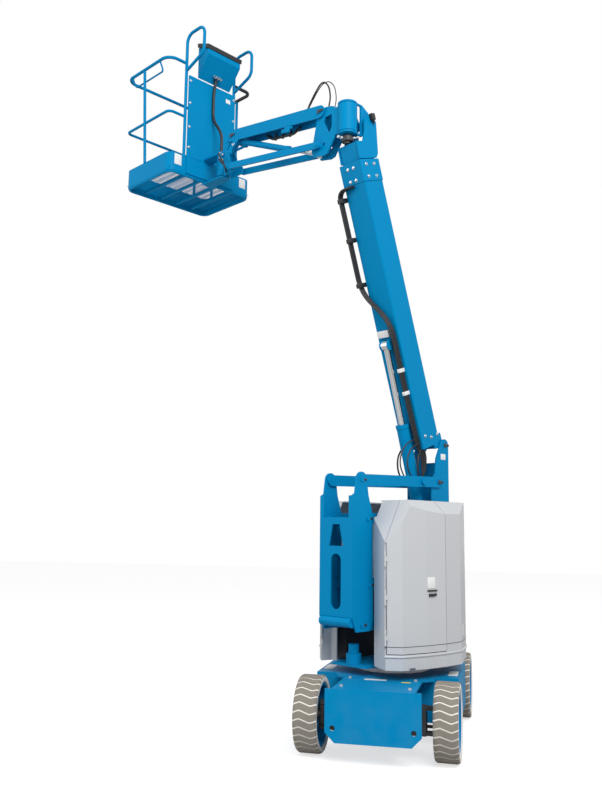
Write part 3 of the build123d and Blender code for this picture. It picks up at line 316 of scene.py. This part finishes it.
def dressed(piece, name, body, finish, place=None):
    """Places a finished piece, gives it its material and lets it ride on its body, if one is named."""
    only(piece)
    if place is not None:
        piece.data.transform(place)
    bpy.ops.object.shade_smooth_by_angle(angle=radians(35))
    piece.name = name
    piece.data.materials.clear()
    piece.data.materials.append(finish)
    if body:
        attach(piece, body)
    return piece


def spread(master, places):
    """Copies of a small piece at each place, made one mesh. The master is used up."""
    twins = []
    for place in places:
        twin = master.copy()
        twin.data = master.data.copy()
        twin.data.transform(place)
        bpy.context.scene.collection.objects.link(twin)
        twins.append(twin)
    bpy.data.objects.remove(master)
    return joined(twins)


def facing(place, point, normal):
    """A spot on a part's surface, with z along the surface's normal."""
    turn = Vector(normal).to_track_quat("Z", "Y").to_matrix().to_4x4()
    return place @ Matrix.Translation(Vector(point)) @ turn


def hex_bolt(across=0.022, height=0.010):
    """A bolt's head on its washer, standing on z = 0."""
    head = drum((0, 0, height / 2 + 0.002), across / 2, height, sides=6, rounding=0.0015)
    washer = drum((0, 0, 0.001), across * 0.72, 0.003, sides=20, rounding=0.0006)
    return joined([head, washer])


def bolts(name, place, spots, body, across=0.022):
    """Bolt heads at (point, normal) spots of one body."""
    heads = spread(hex_bolt(across), [facing(place, point, normal) for point, normal in spots])
    return dressed(heads, name, body, zinc_steel)


def label(name, place, point, normal, size, body, finish=label_white):
    """A bare label with rounded corners, stuck on a surface."""
    width, height = size
    film = block((0, 0, 0.0008), (width, height, 0.0024), rounding=0.0007)
    return dressed(film, name, body, finish, facing(place, point, normal))


def rubber_line(points, radius):
    """A bent hose through its control points."""
    curve = bpy.data.curves.new("line", "CURVE")
    curve.dimensions = "3D"
    curve.bevel_depth = radius
    curve.bevel_resolution = 3
    curve.resolution_u = 10
    curve.use_fill_caps = True
    spline = curve.splines.new("NURBS")
    spline.points.add(len(points) - 1)
    for knot, point in zip(spline.points, points):
        knot.co = (*point, 1)
    spline.order_u = 3
    spline.use_endpoint_u = True
    piece = bpy.data.objects.new("line", curve)
    bpy.context.scene.collection.objects.link(piece)
    only(piece)
    bpy.ops.object.convert(target="MESH")
    return bpy.context.object


# ================================================================ wheels
TYRE_RADIUS = (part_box("tyre_front_left")[1].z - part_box("tyre_front_left")[0].z) / 2
TYRE_HALF_WIDTH = 0.090
RIM_SEAT = 0.226
LUG_COUNT = 30
LUG_GAP = 0.011
LUG_DEPTH = 0.004
LUG_ROOT = 0.003               # how far a lug is sunk in the carcass
SHOULDER_START, SHOULDER_DROP = 0.84, 0.012
SPIN_STEPS = 90
NUT_COUNT, NUT_CIRCLE, NUT_FACE = 8, 0.056, 0.0205
HUB_CAP_RADIUS, HUB_CAP_HEIGHT, HUB_CAP_MIDDLE = 0.034, 0.016, 0.026
ZIGZAG = ((-1.0, -0.002), (-0.45, 0.013), (0.45, -0.015), (1.0, 0.004))


def zigzag(across):
    """How far a lug's middle is swept at a place across the tread."""
    for (start, low), (end, high) in zip(ZIGZAG, ZIGZAG[1:]):
        if across <= end:
            return low + (high - low) * (across - start) / (end - start)
    return ZIGZAG[-1][1]


def tyre_carcass():
    """The solid tyre under its tread, spun from its section."""
    floor = TYRE_RADIUS - LUG_DEPTH
    half = [(0.070, floor), (0.080, floor - 0.002), (0.088, floor - 0.010),
            (0.0895, RIM_SEAT + 0.018), (0.087, RIM_SEAT + 0.006), (0.078, RIM_SEAT)]
    section = [(-across, radius) for across, radius in reversed(half)] + half
    bpy.ops.object.select_all(action="DESELECT")
    bpy.ops.mesh.primitive_circle_add(vertices=len(section))
    piece = bpy.context.object
    for vertex, (across, radius) in zip(piece.data.vertices, section):
        vertex.co = (across, 0, radius)
    bpy.ops.object.mode_set(mode="EDIT")
    bpy.ops.mesh.select_all(action="SELECT")
    bpy.ops.mesh.spin(steps=SPIN_STEPS, angle=radians(360), center=(0, 0, 0), axis=(1, 0, 0))
    bpy.ops.mesh.select_all(action="SELECT")
    bpy.ops.mesh.remove_doubles(threshold=0.0001)
    bpy.ops.mesh.normals_make_consistent(inside=False)
    bpy.ops.object.mode_set(mode="OBJECT")
    return piece


def tyre_lug():
    """One zigzag lug, from shoulder to shoulder at the top of the tyre."""
    bpy.ops.object.select_all(action="DESELECT")
    bpy.ops.mesh.primitive_grid_add(x_subdivisions=16, y_subdivisions=1, size=2)
    piece = bpy.context.object
    half = (2 * pi * TYRE_RADIUS / LUG_COUNT - LUG_GAP) / 2
    for vertex in piece.data.vertices:
        across, side = vertex.co.x, vertex.co.y
        drop = SHOULDER_DROP * max(0.0, abs(across) - SHOULDER_START) / (1 - SHOULDER_START)
        vertex.co = (across * (TYRE_HALF_WIDTH - 0.0005), side * half + zigzag(across),
                     TYRE_RADIUS - 0.0004 - drop)
    only(piece)
    body = piece.modifiers.new("body", "SOLIDIFY")
    body.thickness = LUG_DEPTH + LUG_ROOT
    body.offset = -1
    bpy.ops.object.modifier_apply(modifier="body")
    soften(piece, 0.0016, segments=1)
    for vertex in piece.data.vertices:
        angle = vertex.co.y / TYRE_RADIUS
        vertex.co = (vertex.co.x, vertex.co.z * sin(angle), vertex.co.z * cos(angle))
    return piece


def wheel_nuts():
    """The wheel nuts and the hub's grease cap, x outboard."""
    first = facing(Matrix.Identity(4), (NUT_FACE, 0, NUT_CIRCLE), (1, 0, 0))
    ring = spread(hex_bolt(0.026, 0.014), [
        Matrix.Rotation(radians(360 / NUT_COUNT * step), 4, "X") @ first for step in range(NUT_COUNT)])
    cap = drum((HUB_CAP_MIDDLE, 0, 0), HUB_CAP_RADIUS, HUB_CAP_HEIGHT, sides=32, rounding=0.005,
               way=(1, 0, 0))
    return joined([ring, cap])


def add_tyres():
    """A treaded tyre and its nuts for each wheel."""
    carcass, nuts = tyre_carcass(), wheel_nuts()
    lugs = spread(tyre_lug(), [Matrix.Rotation(radians(360 * step / LUG_COUNT), 4, "X")
                               for step in range(LUG_COUNT)])
    for corner in ("front_left", "front_right", "rear_left", "rear_right"):
        outboard = Vector((1, 0, 0)) if corner.endswith("left") else Vector((-1, 0, 0))
        place = local_frame(pivot(corner + "_spin"), outboard, UP.cross(outboard))
        # the carcass takes the pale colour of dusty grooves, which also paints a highlight on the tyre's sidewalls
        # and shoulders
        for master, kind, finish, slot in ((carcass, "carcass_", groove_dust_and_highlight_rubber, "tyre_rubber"),
                                           (lugs, "tread_", tyre_rubber, "tyre_rubber"),
                                           (nuts, "wheel_nuts_", zinc_steel, "machined_steel")):
            piece = master.copy()
            piece.data = master.data.copy()
            bpy.context.scene.collection.objects.link(piece)
            dressed(piece, kind + corner, "wheel_" + corner, finish, place)
            if kind == "tread_":
                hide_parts("tyre_" + corner)
    for master in (carcass, lugs, nuts):
        bpy.data.objects.remove(master)


# ================================================================ bolts, labels and latches
BOOM_SIDE, COLLAR_SIDE = 0.120, 0.126
COLLAR_LOW, COLLAR_HIGH = -0.290, -0.028
FOOT_BOLTS = ((0.147, -0.230), (0.117, -0.148), (0.120, -0.052))
DECK_HEIGHT = 0.520
DECK_BOLT_SIDE = 0.250
PANEL_BACK, PANEL_MIDDLE = 0.258, -0.031
PANEL_BOLT_SIDE = 0.285
RIGHT_SHIFT = 0.130            # how much nearer the middle the right cover stands
LATCH_OUT, LATCH_HEIGHT = 0.566, 1.165
LATCH_LABEL_HEIGHT = 1.245


def add_bolts():
    """Bolts of the boom's wear pads and foot, the deck and the platform's panel."""
    collar = [((along, side * COLLAR_SIDE, across), (0, side, 0))
              for along in (2.452, 2.557) for side in (-1, 1) for across in (-0.229, -0.120)]
    collar += [((along, side, face), (0, 0, way))
               for along in (2.442, 2.549) for face, way in ((COLLAR_LOW, -1), (COLLAR_HIGH, 1))
               for side in (-0.032, 0.032)]
    foot = [((along, side * BOOM_SIDE, across), (0, side, 0))
            for side in (-1, 1) for along, across in FOOT_BOLTS]
    bolts("boom_bolts", BOOM, collar + foot, "boom_outer", across=0.020)
    deck = [((along, side * DECK_BOLT_SIDE, DECK_HEIGHT), (0, 0, 1))
            for side in (-1, 1) for along in (0.610, 0.980)]
    bolts("deck_bolts", CHASSIS, deck, "chassis", across=0.024)
    panel = [((PANEL_BACK, PANEL_MIDDLE + side * PANEL_BOLT_SIDE, height), (-1, 0, 0))
             for side in (-1, 1) for height in (0.30, 0.52, 0.78, 1.02)]
    bolts("panel_bolts", PLATFORM, panel, "platform", across=0.018)


LABELS = (
    # name, frame, point, normal, (width, height), body, finish
    ("rear_label_left", PLATFORM, (0.270, 0.370, 0.135), (-1, 0, 0), (0.085, 0.110), "platform", label_white),
    ("rear_label_right", PLATFORM, (0.270, -0.472, 0.135), (-1, 0, 0), (0.085, 0.100), "platform",
     label_white),
    ("panel_label", PLATFORM, (PANEL_BACK, -0.241, 0.976), (-1, 0, 0), (0.060, 0.045), "platform",
     label_white),
    ("upright_label_left", UPRIGHT, (-0.094, 0.137, 0.231), (0, 1, 0), (0.070, 0.052), "upright",
     label_white),
    ("deck_label_left", CHASSIS, (0.640, -0.050, DECK_HEIGHT), (0, 0, 1), (0.050, 0.170), "chassis",
     label_white),
    ("deck_arrow_label", CHASSIS, (0.700, 0.190, DECK_HEIGHT), (0, 0, 1), (0.030, 0.070), "chassis",
     label_yellow),
    ("deck_side_label_left", CHASSIS, (0.170, 0.505, DECK_HEIGHT), (0, 0, 1), (0.220, 0.075), "chassis",
     label_white),
    ("deck_side_label_right", CHASSIS, (0.130, -0.505, DECK_HEIGHT), (0, 0, 1), (0.220, 0.075), "chassis",
     label_white),
    ("cover_edge_label", TURNTABLE, (-0.235, 0.536, 0.853), (-0.46, 0.89, 0), (0.040, 0.090), "turntable",
     label_white),
)


def add_labels():
    """The bare labels."""
    for row in LABELS:
        label(*row)


def door_latch():
    """A cover latch: plate, paddle and lock barrel, z outward and y up."""
    bar = block((0, 0.020, 0.005), (0.105, 0.012, 0.010), rounding=0.003)
    paddle = block((-0.006, -0.014, 0.006), (0.062, 0.022, 0.012), rounding=0.003)
    barrel = drum((0.034, -0.010, 0.006), 0.010, 0.014, sides=16, rounding=0.001)
    return joined([bar, paddle, barrel])


def add_latches():
    """A latch and its pale label on each door."""
    for side, shift, body in ((1, 0.0, "left_door"), (-1, RIGHT_SHIFT, "right_door")):
        normal = (0.12, side * 0.99, 0)
        out = side * (LATCH_OUT - shift)
        spot = facing(TURNTABLE, (0.217, out, LATCH_HEIGHT), normal)
        dressed(door_latch(), body + "_latch", body, black_plastic, spot)
        label(body + "_label", TURNTABLE, (0.225, out, LATCH_LABEL_HEIGHT), normal, (0.085, 0.085), body)


# ================================================================ hoses, clamps and fittings
JIB_ARCS = (
    # radius, then points in the jib base's frame, from the base to the arm's far side
    (0.0075, ((0.262, -0.030, 0.100), (0.282, -0.060, 0.230), (0.306, -0.110, 0.340), (0.330, -0.110, 0.470),
              (0.415, -0.110, 0.545), (0.515, -0.110, 0.450), (0.590, -0.105, 0.340), (0.640, -0.092, 0.210),
              (0.740, -0.086, 0.170), (0.840, -0.084, 0.190))),
    (0.0045, ((0.205, -0.040, 0.080), (0.212, -0.070, 0.210), (0.233, -0.110, 0.310), (0.262, -0.115, 0.440),
              (0.345, -0.120, 0.525), (0.445, -0.122, 0.515), (0.545, -0.118, 0.400), (0.620, -0.102, 0.280),
              (0.700, -0.088, 0.200), (0.860, -0.082, 0.215))),
)
FOOT_ARCS = (
    # radius, then points in the boom's frame
    (0.006, ((0.050, 0.070, -0.110), (0.110, 0.080, -0.190), (0.150, 0.085, -0.330), (0.145, 0.085, -0.470),
             (0.060, 0.085, -0.590), (-0.060, 0.085, -0.620), (-0.170, 0.080, -0.560))),
    (0.006, ((0.045, 0.060, -0.110), (0.090, 0.095, -0.200), (0.110, 0.100, -0.330), (0.090, 0.100, -0.450),
             (0.000, 0.100, -0.530), (-0.100, 0.100, -0.540), (-0.190, 0.095, -0.480))),
    (0.008, ((0.050, -0.060, -0.120), (0.080, -0.085, -0.200), (0.070, -0.090, -0.320), (0.020, -0.090, -0.400),
             (-0.060, -0.090, -0.440), (-0.150, -0.090, -0.440), (-0.240, -0.085, -0.400))),
    (0.008, ((0.045, 0.045, -0.130), (0.050, 0.075, -0.240), (0.010, 0.085, -0.330), (-0.070, 0.085, -0.380),
             (-0.160, 0.080, -0.390), (-0.260, 0.075, -0.360))),
    (0.010, ((0.335, 0.084, -0.296), (0.240, 0.084, -0.296), (0.120, 0.082, -0.290), (0.040, 0.070, -0.230),
             (-0.060, 0.060, -0.200), (-0.170, 0.055, -0.260))),
    (0.010, ((0.335, 0.084, -0.317), (0.230, 0.084, -0.317), (0.105, 0.084, -0.312), (0.020, 0.078, -0.265),
             (-0.080, 0.072, -0.250), (-0.190, 0.065, -0.300))),
    (0.010, ((0.335, 0.084, -0.338), (0.220, 0.084, -0.338), (0.090, 0.086, -0.334), (0.000, 0.084, -0.300),
             (-0.100, 0.080, -0.300), (-0.210, 0.075, -0.340))),
)
BOOM_HOSE_SIDE, BOOM_HOSE_RUN, BOOM_HOSE_MIDDLE = -0.160, 0.084, -0.317
MANIFOLD_HEIGHT, MANIFOLD_RADIUS = -0.205, 0.052
CARRIER_CLAMPS = (1.560, 1.960, 2.310)


def lines(name, place, table, body):
    """Thin hoses of one body from a table of radii and points."""
    bent = joined([rubber_line(points, radius) for radius, points in table])
    return dressed(bent, name, body, black_hose, place)


def fitting():
    """A hose fitting on z = 0: hexagon, collar and ferrule."""
    nut = drum((0, 0, 0.009), 0.015, 0.018, sides=6, rounding=0.0015)
    collar = drum((0, 0, 0.023), 0.010, 0.012, sides=20, rounding=0.001)
    ferrule = drum((0, 0, 0.040), 0.0125, 0.026, sides=20, rounding=0.002)
    return joined([nut, collar, ferrule])


def fittings(name, place, spots, body):
    """Hose fittings at (point, way) spots of one body."""
    heads = spread(fitting(), [facing(place, point, way) for point, way in spots])
    return dressed(heads, name, body, zinc_steel)


def add_hoses():
    """Hose loops at the joints, with what clamps them."""
    arcs = lines("jib_root_hoses", JIB_BASE, JIB_ARCS, None)
    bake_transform(arcs)
    clip = block((0.520, -0.082, 0.020), (0.026, 0.022, 0.050), rounding=0.003)
    dressed(clip, "jib_arm_hose_clip", "jib_arm", charcoal_paint, JIB_ARM)
    lines("boom_foot_hoses", BOOM, FOOT_ARCS, "boom_outer")
    manifold = joined([drum((0, 0, MANIFOLD_HEIGHT), MANIFOLD_RADIUS, 0.048, rounding=0.004),
                       drum((0, 0, -0.236), 0.030, 0.020, rounding=0.003)])
    dressed(manifold, "swivel_manifold", "level_bracket", charcoal_paint, JIB_BASE)
    ways = [(cos(radians(turn)), sin(radians(turn))) for turn in (80, 200)]
    fittings("swivel_fittings", JIB_BASE,
             [((MANIFOLD_RADIUS * x, MANIFOLD_RADIUS * y, MANIFOLD_HEIGHT), (x, y, 0)) for x, y in ways],
             "level_bracket")
    white = [block((along, BOOM_HOSE_RUN, BOOM_HOSE_MIDDLE + 0.006), (0.034, 0.034, 0.080), rounding=0.004)
             for along in (0.559, 0.763)]
    dressed(joined(white), "hose_clamps_white", "boom_outer", label_white, BOOM)
    dark = [block((along, BOOM_HOSE_SIDE + 0.012, BOOM_HOSE_MIDDLE + 0.012), (0.040, 0.062, 0.084),
                  rounding=0.004) for along in CARRIER_CLAMPS]
    arms = [block((along, -0.139, -0.262), (0.030, 0.050, 0.024), rounding=0.003)
            for along in CARRIER_CLAMPS]
    dressed(joined(dark), "hose_clamps_dark", "boom_outer", black_plastic, BOOM)
    dressed(joined(arms), "hose_clamp_arms", "boom_outer", blue_paint, BOOM)
    stop = block((1.100, -0.030, -0.299), (0.062, 0.125, 0.034), rounding=0.004)
    dressed(stop, "lift_head_pad", "boom_outer", label_white, BOOM)
    clips = [block((along, -0.056, -0.062), (0.022, 0.020, 0.066), rounding=0.003)
             for along in (0.500, 0.600, 0.700)]
    dressed(joined(clips), "jib_hose_clips", "jib_arm", charcoal_paint, JIB_ARM)


def add_sensor():
    """The boom's angle sensor on the inner boom's head."""
    case = block((2.962, 0.128, 0.000), (0.060, 0.034, 0.050), rounding=0.006)
    gland = drum((2.925, 0.130, 0.004), 0.010, 0.040, sides=16, rounding=0.002, way=(1, 0, 0))
    dressed(joined([case, gland]), "angle_sensor", "boom_inner", black_plastic, BOOM)


def add_rotator_parts():
    """Fittings and hoses of the platform's rotator."""
    spots = [((0.142, 0.058, -0.150), (0, 1, 0)), ((0.142, 0.058, -0.205), (0, 1, 0)),
             ((0.142, -0.058, -0.170), (0, -1, 0))]
    fittings("rotator_fittings", SUPPORT, spots, "platform_support")
    lines("rotator_hoses", SUPPORT, (
        (0.008, ((0.142, 0.100, -0.150), (0.140, 0.125, -0.155), (0.110, 0.140, -0.190), (0.070, 0.120, -0.260),
                 (0.075, 0.085, -0.310), (0.090, 0.056, -0.320))),
        (0.008, ((0.142, 0.100, -0.205), (0.135, 0.122, -0.215), (0.100, 0.130, -0.250), (0.060, 0.105, -0.300),
                 (0.070, 0.080, -0.340), (0.085, 0.056, -0.350)))), "platform_support")


def add_small_parts():
    """Cable glands of the control box, and the jib's valve."""
    glands = [((0.204, PANEL_MIDDLE + shift, 1.150), (-0.77, 0, -0.64)) for shift in (-0.034, 0.000, 0.034)]
    fittings("control_glands", PLATFORM, glands, "platform")
    valve = joined([block((0.410, 0.0665, -0.084), (0.075, 0.014, 0.054), rounding=0.003),
                    drum((0.465, 0.0665, -0.092), 0.019, 0.014, rounding=0.002, way=(0, 1, 0)),
                    drum((0.355, 0.0665, -0.074), 0.014, 0.014, rounding=0.002, way=(0, 1, 0))])
    dressed(valve, "jib_valve", "jib_arm", blue_paint, JIB_ARM)


def pin_cap():
    """A pin's dark end with its keeper plate and bolt, on z = 0."""
    end = drum((0, 0, 0.003), 0.018, 0.008, sides=28, rounding=0.0015)
    keeper = block((0.030, 0, 0.002), (0.044, 0.018, 0.005), rounding=0.001)
    bolt = drum((0.044, 0, 0.007), 0.007, 0.007, sides=6, rounding=0.001)
    return joined([end, keeper, bolt])


PIN_CAPS = (
    # name, frame, body, half width, (along, up) of each pin
    ("mid_riser_pins", MID_RISER, "mid_riser", 0.1762, ((0, 1.130), (-0.074, 0.824), (0, 0), (-0.090, 0.300))),
    ("upright_pins", UPRIGHT, "upright", 0.1612, ((0, 0),)),
    ("boom_pivot_pins", UPRIGHT, "upright", 0.1412, ((-0.120, 0.338),)),
    ("jib_root_pins", JIB_BASE, "jib_base", 0.0822, ((0.270, 0.122),)),
    ("jib_end_pins", SUPPORT, "platform_support", 0.0822, ((0, 0),)),
)


def add_pin_caps():
    """Caps on both ends of the pins that show."""
    for name, place, body, half_width, spots in PIN_CAPS:
        caps = spread(pin_cap(), [facing(place, (along, side * half_width, up), (0, side, 0))
                                  for along, up in spots for side in (-1, 1)])
        dressed(caps, name, body, charcoal_paint)


STRAND_PITCH = 0.030
MESH_LENGTH = 0.070
STRAND_WIDTH, STRAND_THICKNESS = 0.0065, 0.0030


def add_grating():
    """Expanded metal on the basket's floor, in place of the plain slotted plate."""
    back = PLATFORM.inverted()
    corners = [back @ vertex.co for vertex in frame["nodes"]["platform_grating"].data.vertices]
    low = Vector([min(corner[k] for corner in corners) for k in range(3)])
    high = Vector([max(corner[k] for corner in corners) for k in range(3)])
    steps = 2 * int((high.y - low.y) / MESH_LENGTH)
    rows = int((high.x - low.x) / STRAND_PITCH)
    bpy.ops.object.select_all(action="DESELECT")
    bpy.ops.mesh.primitive_grid_add(x_subdivisions=1, y_subdivisions=steps, size=2)
    strand = bpy.context.object
    for vertex in strand.data.vertices:
        side = vertex.co.x
        step = round((vertex.co.y + 1) / 2 * steps)
        swing = (STRAND_PITCH - STRAND_WIDTH) / 2 if step % 2 else 0.0
        vertex.co = (side * STRAND_WIDTH / 2 + swing, low.y + (high.y - low.y) * step / steps, 0)
    only(strand)
    body = strand.modifiers.new("body", "SOLIDIFY")
    body.thickness = STRAND_THICKNESS
    body.offset = 0
    bpy.ops.object.modifier_apply(modifier="body")
    level = (low.z + high.z) / 2
    mirror = Matrix.Diagonal((-1, 1, 1, 1))
    places = []
    for row in range(rows):
        start = low.x + STRAND_PITCH * (row + 0.25)
        places.append(Matrix.Translation((start, 0, level)))
        places.append(Matrix.Translation((start + STRAND_PITCH - STRAND_WIDTH, 0, level)) @ mirror)
    mesh = spread(strand, places)
    only(mesh)
    bpy.ops.object.mode_set(mode="EDIT")
    bpy.ops.mesh.select_all(action="SELECT")
    bpy.ops.mesh.normals_make_consistent(inside=False)
    bpy.ops.object.mode_set(mode="OBJECT")
    dressed(mesh, "expanded_floor", "platform", blue_paint, PLATFORM)
    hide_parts("platform_grating")


COVER_LINE = ((0.590, 0.395), (0.500, 0.500), (0.270, 0.560), (0.060, 0.585), (-0.150, 0.580),
              (-0.380, 0.460), (-0.500, 0.380), (-0.540, 0.250))
SKIRT_LINES = (
    # name, height, radius, slot, finish
    ("ridge", 0.700, 0.009, "cover_grey", cover_plastic),
    ("seam", 0.772, 0.0022, "black_plastic", black_plastic),
)


def cover_strip(side, shift, height, radius):
    """A round strip that follows a cover's outline at a height."""
    curve = bpy.data.curves.new("strip", "CURVE")
    curve.dimensions = "3D"
    curve.bevel_depth = radius
    curve.bevel_resolution = 2
    curve.use_fill_caps = True
    spline = curve.splines.new("POLY")
    spline.points.add(len(COVER_LINE) - 1)
    for knot, (along, out) in zip(spline.points, COVER_LINE):
        knot.co = (along, side * (out - shift), height, 1)
    strip = bpy.data.objects.new("strip", curve)
    bpy.context.scene.collection.objects.link(strip)
    only(strip)
    bpy.ops.object.convert(target="MESH")
    return bpy.context.object


def add_skirt_lines():
    """The moulded ridge and the joint line round the foot of each cover."""
    for cover, side, shift in (("left_skirt_", 1, 0.0), ("right_skirt_", -1, RIGHT_SHIFT)):
        for kind, height, radius, slot, finish in SKIRT_LINES:
            strip = cover_strip(side, shift, height, radius)
            dressed(strip, cover + kind, "turntable", finish, TURNTABLE)


add_tyres()
add_bolts()
add_labels()
add_latches()
add_hoses()
add_sensor()
add_rotator_parts()
add_skirt_lines()
add_small_parts()
add_pin_caps()
add_grating()


# ================================================================ camera, floor and light
CAMERA_FROM_SLEW = Vector((0.991, -7.318, 1.637))
CAMERA_YAW, CAMERA_PITCH, CAMERA_ROLL = 13.9, 8.7, 0.7
FOCAL_PIXELS = 852
FRAME_HEIGHT = 800
SENSOR_HEIGHT = 36
FLOOR_LIFT = 0.66             # how much whiter the floor looks than it is lit
FLOOR_SIZE = 60
WORLD_LIGHT, WORLD_SHOW = 0.55, 0.45   # what the world gives, and what it gains where it is seen
LAMPS = (
    # name, place, aim, size, watts
    ("key_lamp", (5, -8, 9), (0, 0, 2.5), 6, 900),
    ("fill_lamp", (-8, -5, 5), (0, 0, 2.5), 6, 250),
)


def add_camera():
    """The camera, at the height of a standing person's eyes."""
    data = bpy.data.cameras.new("camera")
    camera = bpy.data.objects.new("camera", data)
    bpy.context.scene.collection.objects.link(camera)
    data.sensor_fit = "VERTICAL"
    data.sensor_height = SENSOR_HEIGHT
    data.lens = SENSOR_HEIGHT * FOCAL_PIXELS / FRAME_HEIGHT
    yaw, pitch, roll = (radians(angle) for angle in (CAMERA_YAW, CAMERA_PITCH, CAMERA_ROLL))
    tilt = Matrix.Rotation(radians(90) + pitch, 4, "X") @ Matrix.Rotation(roll, 4, "Z")
    camera.matrix_world = Matrix.Translation(slew + CAMERA_FROM_SLEW) @ Matrix.Rotation(yaw, 4, "Z") @ tilt
    bpy.context.scene.camera = camera


def stage_material():
    """Pale floor paint that shows white to the camera and keeps the shadow."""
    material = bpy.data.materials.new("studio_white")
    material.use_nodes = True
    tree = material.node_tree
    shader = tree.nodes["Principled BSDF"]
    shader.inputs["Base Color"].default_value = (0.55, 0.55, 0.55, 1)
    shader.inputs["Roughness"].default_value = 0.9
    shader.inputs["Specular IOR Level"].default_value = 0.0
    shader.inputs["Emission Color"].default_value = (1, 1, 1, 1)
    path = tree.nodes.new("ShaderNodeLightPath")
    lift = math_node(tree, "MULTIPLY", path.outputs["Is Camera Ray"], FLOOR_LIFT)
    tree.links.new(lift, shader.inputs["Emission Strength"])
    return material


def add_stage():
    """A large plain floor."""
    bpy.ops.mesh.primitive_plane_add(size=FLOOR_SIZE)
    floor = bpy.context.object
    floor.name = "studio_floor"
    floor.data.materials.append(stage_material())


def add_lamp(name, place, aim, size, power):
    """A square soft lamp aimed at a point."""
    data = bpy.data.lights.new(name, "AREA")
    data.shape = "SQUARE"
    data.size = size
    data.energy = power
    lamp = bpy.data.objects.new(name, data)
    bpy.context.scene.collection.objects.link(lamp)
    lamp.location = place
    lamp.rotation_euler = (Vector(aim) - Vector(place)).to_track_quat("-Z", "Y").to_euler()


def add_light():
    """A bright even world and two soft lamps."""
    world = bpy.data.worlds.new("studio")
    bpy.context.scene.world = world
    world.use_nodes = True
    tree = world.node_tree
    background = tree.nodes["Background"]
    background.inputs["Color"].default_value = (1, 1, 1, 1)
    path = tree.nodes.new("ShaderNodeLightPath")
    seen = math_node(tree, "MAXIMUM", path.outputs["Is Camera Ray"], path.outputs["Is Glossy Ray"])
    strength = math_node(tree, "ADD", math_node(tree, "MULTIPLY", seen, WORLD_SHOW), WORLD_LIGHT)
    tree.links.new(strength, background.inputs["Strength"])
    for lamp in LAMPS:
        add_lamp(*lamp)


add_camera()
add_stage()
add_light()
bpy.context.scene.view_settings.view_transform = "Standard"
